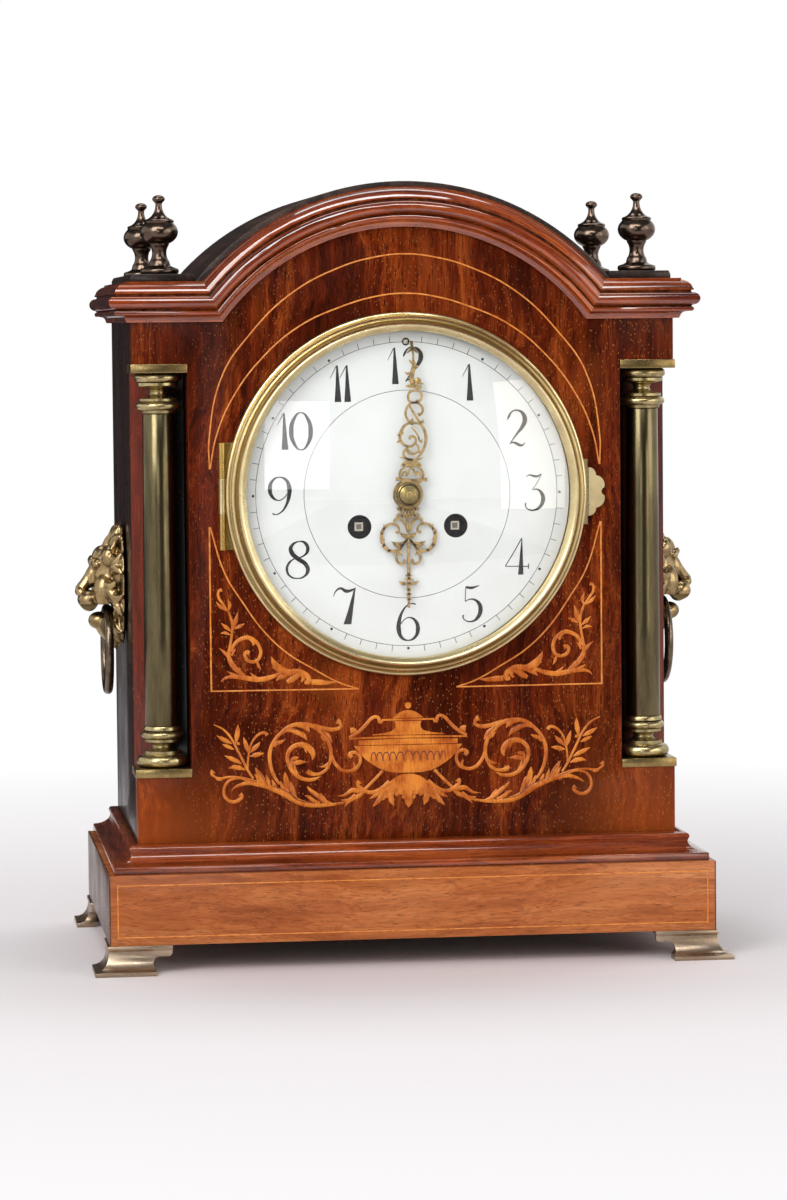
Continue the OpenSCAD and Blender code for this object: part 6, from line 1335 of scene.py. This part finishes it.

# Dark collars in the winding holes and the regulator hole, painted shade in the holes
collars = []
for x, z, outer, inner in ((-KEY_X, -KEY_DROP, 5.45, 3.4), (KEY_X, -KEY_DROP, 5.45, 3.4),
                           (0, REGULATOR_RISE, 2.2, 1.2)):
    face = enamel_y(x, z) - FRONT_Y
    collars.append(turn_piece([(inner, face + 1.2), (outer, face + 0.5), (outer, face + 1.2)],
                              (x, FRONT_Y, DIAL_Z + z), "Y", 40, ring=True))
finish_piece(join_up(collars), "winding_hole_shades", "case", hole_shade, smooth=30)

# ---------------------------------------------------------------- hands

MINUTE_Y = FRONT_Y - 8.2
HOUR_Y = FRONT_Y - 6.2


HAND_HALF = 0.38
PAST_THE_HOUR = 1.6


def round_over(piece, middle):
    """Lays pierced work in its plane, no thicker than the hand."""
    move_points(piece, lambda x, y, z: (x, middle + max(-HAND_HALF, min(HAND_HALF, y * 1.1)), z + DIAL_Z))


minute = draw_strokes(fuller(MINUTE_SCROLLS, 1.5), steps=5, sides=2)
round_over(minute, MINUTE_Y)
past = math.radians(PAST_THE_HOUR)
move_points(minute, lambda x, y, z: (
    x * math.cos(past) + (z - DIAL_Z) * math.sin(past), y,
    DIAL_Z + (z - DIAL_Z) * math.cos(past) - x * math.sin(past)))
minute_boss = turn_piece([(2.0, 0.4), (2.0, -0.4), (5.2, -0.4), (5.5, -0.55), (6.2, -0.5), (6.5, -0.1), (6.4, 0.4)],
                         (0, MINUTE_Y, DIAL_Z), "Y", 64, ring=True)
finish_piece(join_up([minute, minute_boss]), "pierced_minute_hand", "centre_arbor", hand_gilt,
             stands_for=("minute_hand",), smooth=45)

hour_middle = draw_strokes(fuller(HOUR_MIDDLE + HOUR_COLLAR, 1.4), steps=5, sides=2)
hour_sides = mirror_across(draw_strokes(fuller(HOUR_SIDES, 1.45), steps=5, sides=2))
hour = join_up([hour_middle, hour_sides])
round_over(hour, HOUR_Y)
hour_boss = turn_piece([(4.4, 0.4), (4.4, -0.4), (6.8, -0.4), (7.0, 0.0), (6.8, 0.4)],
                       (0, HOUR_Y, DIAL_Z), "Y", 64, ring=True)
finish_piece(join_up([hour, hour_boss]), "pierced_hour_hand", "hour_pipe", hand_gilt,
             stands_for=("hour_hand",), smooth=45)
nut_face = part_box("hand_nut")[1].y / MM
nut = turn_piece([(1.6, nut_face), (5.3, nut_face), (5.45, nut_face - 0.5), (5.3, nut_face - 1.2),
                  (4.95, nut_face - 1.4), (4.7, nut_face - 1.2), (4.6, nut_face - 0.8)]
                 + oval(0, nut_face - 0.8, 4.5, 1.1, -2, -76, 9)
                 + [(1.0, nut_face - 1.9), (0.95, nut_face - 2.3), (0.45, nut_face - 2.35), (0.4, nut_face - 1.9),
                    (0, nut_face - 1.9)], (0, 0, DIAL_Z), "Y", 64)
finish_piece(nut, "domed_hand_nut", "centre_arbor", hub_gilt, stands_for=("hand_nut",), smooth=40)

# ---------------------------------------------------------------- lion masks and their rings

ring_low, ring_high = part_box("ring_handle_right")
MOUTH_X = (ring_low.x + ring_high.x) / 2 / MM
RING_MIDDLE_Z = (ring_low.z + ring_high.z) / 2 / MM
RING_R = 19.4
MOUTH_Z = RING_MIDDLE_Z + RING_R
RING_BAR = 4.2


def ball(out, across, up, radii, turn=0):
    """One rounded form of the mask: outwards, across and up from the middle of its back."""
    bpy.ops.mesh.primitive_uv_sphere_add(segments=20, ring_count=12, radius=MM,
                                         location=Vector((SIDE_X + out, MASK_Y + across, MASK_Z + up)) * MM,
                                         rotation=(0, math.radians(turn), 0), scale=radii)
    piece = bpy.context.active_object
    fix_place(piece)
    return piece


def draw_locks(locks):
    """Tapered locks of hair; each point is (out, across, up, half width)."""
    bpy.ops.curve.primitive_bezier_curve_add(location=(0, 0, 0))
    drawing = bpy.context.active_object
    curve = drawing.data
    curve.splines.clear()
    curve.bevel_depth = MM
    curve.bevel_resolution = 2
    curve.resolution_u = 5
    curve.use_fill_caps = True
    for lock in locks:
        spline = curve.splines.new("BEZIER")
        spline.bezier_points.add(len(lock) - 1)
        for point, (out, across, up, half) in zip(spline.bezier_points, lock):
            point.co = Vector((SIDE_X + out, MASK_Y + across, MASK_Z + up)) * MM
            point.radius = half
            point.handle_left_type = point.handle_right_type = "AUTO"
    pick_up(drawing)
    bpy.ops.object.convert(target="MESH")
    return bpy.context.active_object


def mane_locks():
    """Three tiers of locks round the face, each as (number, inner and outer reach, lift there, half width,
    swirl, turn of the tier)."""
    tiers = ((18, 0.5, 1.0, 5.2, 2.4, 2.7, 0.16, 0), (15, 0.36, 0.84, 8.6, 5.0, 2.6, 0.2, 10),
             (12, 0.26, 0.66, 11.4, 8.2, 2.2, 0.24, 0))
    locks = []
    for number, start, end, out_in, out_end, half, swirl, offset in tiers:
        for i in range(number):
            turn = math.tau * (i + 0.5) / number + math.radians(offset)
            side = 1 if math.sin(turn) > 0 else -1
            if end < 0.8 and math.cos(turn) < -0.55:
                continue
            lock = []
            for share, width in ((0.0, 0.75), (0.25, 1.0), (0.5, 1.0), (0.75, 0.8), (1.0, 0.3)):
                reach = start + (end - start) * share
                bend = turn + side * swirl * math.sin(share * math.pi) * (1 if i % 2 else -0.6) + side * swirl * share
                out = out_in + (out_end - out_in) * share ** 1.5 + 0.8 * math.sin(share * math.pi)
                lock.append((out, 22.3 * reach * math.sin(bend), 29.6 * reach * math.cos(bend), half * width))
            locks.append(lock)
    return locks


def lion_face():
    """The right-hand mask as one closed cast form."""
    parts = [ball(1.6, 0, 0, (2.4, 22.4, 29.6)), ball(2.0, 0, 2, (6.0, 17.5, 22)),
             ball(6.5, 0, 4, (8.5, 12, 15)), ball(11, 0, 10, (5, 6.4, 8)),
             ball(17.0, 0, -9.0, (4.2, 4.6, 4.2)), ball(12.5, 0, -17.5, (5.0, 5.2, 4.2)),
             ball(21.0, 0, -3.6, (2.6, 4.2, 2.7), 20), ball(14.5, 0, 4.5, (4.0, 3.2, 7.5), -30)]
    for side in (-1, 1):
        parts += [ball(13.2, side * 5.4, 9.6, (2.8, 4.4, 2.3)), ball(12.0, side * 5.6, 4.2, (2.4, 2.9, 2.0)),
                  ball(17.3, side * 4.7, -7.6, (5.0, 4.9, 4.6)), ball(10.5, side * 9.2, -3, (4.8, 5, 8)),
                  ball(8, side * 11.2, 13, (3.4, 3.2, 4.6)), ball(20.4, side * 2.6, -4.6, (2.0, 1.8, 1.8))]
    bars = [[(13.6, 0, 9, 2.6), (16.4, 0, 3.6, 2.7), (19.6, 0, -1.4, 3.0), (21.2, 0, -3.4, 3.0)],
            [(15.4, -7, 12.6, 0.8), (16.2, -3, 11.0, 1.2), (16.0, 0, 9.2, 1.0)],
            [(15.4, 7, 12.6, 0.8), (16.2, 3, 11.0, 1.2), (16.0, 0, 9.2, 1.0)]]
    for i in range(7):
        side = (i - 3) / 3
        bars.append([(13.5 - abs(side) * 2, side * 4.2, -18 + abs(side), 1.9),
                     (11.0 - abs(side) * 2, side * 5.6, -23, 1.9), (6.5, side * 7.2, -28 + abs(side) * 2, 1.4),
                     (4.0, side * 8.0, -31.2 + abs(side) * 3.4, 0.6)])
    parts.append(draw_locks(bars + mane_locks()))
    face = join_up(parts)
    use_modifier(face, "REMESH", mode="VOXEL", voxel_size=0.48 * MM, use_smooth_shade=True)
    use_modifier(face, "SMOOTH", factor=0.5, iterations=2)
    return face


def cut_away(piece, cutter):
    """Cuts a piece with another, which is then put away."""
    use_modifier(piece, "BOOLEAN", operation="DIFFERENCE", object=cutter, solver="MANIFOLD")
    bpy.data.objects.remove(cutter)


def block(low, high):
    """A plain block between two corners, in millimetres."""
    bpy.ops.mesh.primitive_cube_add(size=1, location=[(a + b) / 2 * MM for a, b in zip(low, high)],
                                    scale=[(b - a) * MM for a, b in zip(low, high)])
    piece = bpy.context.active_object
    fix_place(piece)
    return piece


right_mask = lion_face()
cut_away(right_mask, block((SIDE_X - 20, MASK_Y - 40, MASK_Z - 50), (SIDE_X + 0.02, MASK_Y + 40, MASK_Z + 50)))
bpy.ops.mesh.primitive_cylinder_add(vertices=48, radius=(RING_BAR / 2 + 0.75) * MM, depth=80 * MM,
                                    location=Vector((MOUTH_X, MASK_Y, MOUTH_Z)) * MM, rotation=(math.pi / 2, 0, 0))
hole = bpy.context.active_object
fix_place(hole)
cut_away(right_mask, hole)
behind = MOUTH_X - RING_BAR / 2 - 0.3
for side in (-1, 1):
    near, far = sorted((MASK_Y + side * 5.0, MASK_Y + side * 30))
    cut_away(right_mask, block((behind, near, MASK_Z - 60), (SIDE_X + 40, far, MOUTH_Z + RING_BAR / 2 + 0.4)))

pick_up(right_mask)
bpy.ops.object.duplicate()
left_mask = bpy.context.active_object
move_points(left_mask, lambda x, y, z: (-x, y, z))
clean_mesh(left_mask)
finish_piece(right_mask, "right_lion_mask", "case", lion_brass, stands_for=("lion_mask_right",),
             smooth=60)
finish_piece(left_mask, "left_lion_mask", "case", lion_brass, stands_for=("lion_mask_left",),
             smooth=60)

for side, word in ((1, "right"), (-1, "left")):
    bpy.ops.mesh.primitive_torus_add(location=Vector((side * MOUTH_X, MASK_Y, RING_MIDDLE_Z)) * MM,
                                     rotation=(0, math.pi / 2, 0), major_segments=96, minor_segments=24,
                                     major_radius=RING_R * MM, minor_radius=RING_BAR / 2 * MM)
    ring = bpy.context.active_object
    fix_place(ring)
    move_points(ring, lambda x, y, z: (
        x, y + (y - MASK_Y) * -0.012 * (1 - abs(z - RING_MIDDLE_Z) / (RING_R + 3)), z))
    finish_piece(ring, word + "_hanging_ring", word + "_ring", ring_bronze,
                 stands_for=("ring_handle_" + word,), smooth=60)

# ---------------------------------------------------------------- floor, backdrop and lamps


def stage_finish():
    """Plain pale floor: lit for its shadow, white to the camera further off."""
    finish = bpy.data.materials.new("pale_floor")
    finish.use_nodes = True
    tree = finish.node_tree
    tree.nodes.clear()
    place = put(tree, "ShaderNodeTexCoord").outputs["Object"]
    away = put(tree, "ShaderNodeVectorMath", {0: place}, operation="LENGTH").outputs["Value"]
    seen = put(tree, "ShaderNodeLightPath").outputs
    share = reckon(tree, "MULTIPLY", spread(tree, away, 0.12, 0.8, 0.0, 1.0), seen["Is Camera Ray"])
    matte = put(tree, "ShaderNodeBsdfDiffuse", {"Color": colour(248, 242, 244)})
    white = put(tree, "ShaderNodeEmission", {"Color": (1, 1, 1, 1), "Strength": 1.0})
    both = put(tree, "ShaderNodeMixShader", {0: share, 1: matte.outputs[0], 2: white.outputs[0]})
    put(tree, "ShaderNodeOutputMaterial", {"Surface": both.outputs[0]})
    return finish


bpy.ops.mesh.primitive_plane_add(size=8, location=(0, 0, 0))
floor = bpy.context.active_object
floor.name = "pale_table_top"
floor.data.materials.append(stage_finish())
floor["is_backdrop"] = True


def curtain_finish(name, deep, pale):
    """Dull cloth of the studio, with soft folds."""
    finish, tree, shader, place = new_finish(name, {"Metallic": 0.0, "Specular IOR Level": 0.0})
    folds = noise(tree, stretched(tree, place, (3.0, 3.0, 0.3)), 1.0, 2.0)
    tree.links.new(mixed(tree, folds, deep, pale), shader["Base Color"])
    tree.links.new(spread(tree, folds, 0.0, 1.0, 0.8, 1.0), shader["Roughness"])
    return finish


grey_cloth = curtain_finish("grey_studio_cloth", colour(46, 46, 48), colour(74, 74, 77))
pale_cloth = curtain_finish("pale_studio_cloth", colour(112, 112, 114), colour(138, 138, 140))


def hang_curtain(name, place, size, turn=(math.pi / 2, 0, 0), cloth=grey_cloth):
    """A studio curtain or floor cloth that only polish and metal see."""
    bpy.ops.mesh.primitive_plane_add(size=1, location=place, rotation=turn)
    curtain = bpy.context.active_object
    curtain.name = name
    curtain.scale = (size[0], size[1], 1)
    curtain.data.materials.append(cloth)
    for ray in ("visible_camera", "visible_diffuse", "visible_transmission", "visible_shadow"):
        setattr(curtain, ray, False)
    curtain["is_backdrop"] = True


def hang_card(name, place, aim, size, strength):
    """A white card that only polish and metal see, for highlights along the mouldings."""
    finish = bpy.data.materials.new(name + "_white")
    finish.use_nodes = True
    tree = finish.node_tree
    tree.nodes.clear()
    white = put(tree, "ShaderNodeEmission", {"Color": (1, 1, 1, 1), "Strength": strength})
    put(tree, "ShaderNodeOutputMaterial", {"Surface": white.outputs[0]})
    hang_curtain(name, place, size, (Vector(aim) - Vector(place)).to_track_quat("-Z", "Y").to_euler(), finish)


hang_card("moulding_card", (-0.35, -1.15, 1.5), (0, -0.06, 0.3), (1.7, 0.34), 9.0)
hang_curtain("front_curtain", (0.1, -3.2, 1.2), (4.4, 2.3))
hang_curtain("back_curtain", (-1.1, 3.2, 1.6), (3.8, 3.6))
hang_curtain("front_cloth", (0.06, -1.98, 0.002), (1.0, 2.44), (0, 0, 0))
hang_curtain("ceiling_cloth", (0.0, -0.4, 2.4), (5.4, 5.6), (0, 0, 0), pale_cloth)
hang_curtain("left_cloth", (-1.6, 1.8, 0.002), (2.84, 2.7), (0, 0, 0))

sky = bpy.data.worlds.new("studio_air")
bpy.context.scene.world = sky
sky.use_nodes = True
tree = sky.node_tree
tree.nodes.clear()
seen = put(tree, "ShaderNodeLightPath").outputs
direct = reckon(tree, "MAXIMUM", seen["Is Camera Ray"],
                reckon(tree, "MAXIMUM", seen["Is Glossy Ray"], seen["Is Transmission Ray"]))
ambient = put(tree, "ShaderNodeBackground", {"Color": (1.0, 1.0, 1.0, 1), "Strength": 0.42})
white = put(tree, "ShaderNodeBackground", {"Color": (1, 1, 1, 1), "Strength": 1.0})
both = put(tree, "ShaderNodeMixShader", {0: direct, 1: ambient.outputs[0], 2: white.outputs[0]})
put(tree, "ShaderNodeOutputWorld", {"Surface": both.outputs[0]})


def hang_lamp(name, place, aim, width, height, power, tint=(1, 1, 1)):
    """A soft lamp at a place, turned to its aim."""
    bpy.ops.object.light_add(type="AREA", location=place)
    lamp = bpy.context.active_object
    lamp.name = name
    lamp.data.shape = "RECTANGLE"
    lamp.data.size = width
    lamp.data.size_y = height
    lamp.data.energy = power
    lamp.data.color = tint
    lamp.rotation_euler = (Vector(aim) - Vector(place)).to_track_quat("-Z", "Y").to_euler()


hang_lamp("soft_key", (-1.3, -1.7, 1.3), (0, 0, 0.2), 1.1, 1.1, 24)
hang_lamp("weak_fill", (1.7, -1.2, 0.8), (0, 0, 0.18), 1.0, 1.2, 6)
hang_lamp("top_strip", (0.1, 0.5, 1.7), (0, 0, 0.3), 1.2, 0.5, 8)
hang_lamp("window_card", (-0.5, -2.0, 0.48), (0, -0.08, 0.24), 0.44, 0.6, 2.4)
hang_lamp("side_card", (1.1, -1.85, 0.46), (0.05, -0.08, 0.2), 0.48, 0.88, 3.4, (1.0, 0.9, 0.78))

scene = bpy.context.scene
scene.view_settings.view_transform = "Standard"

low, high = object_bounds()
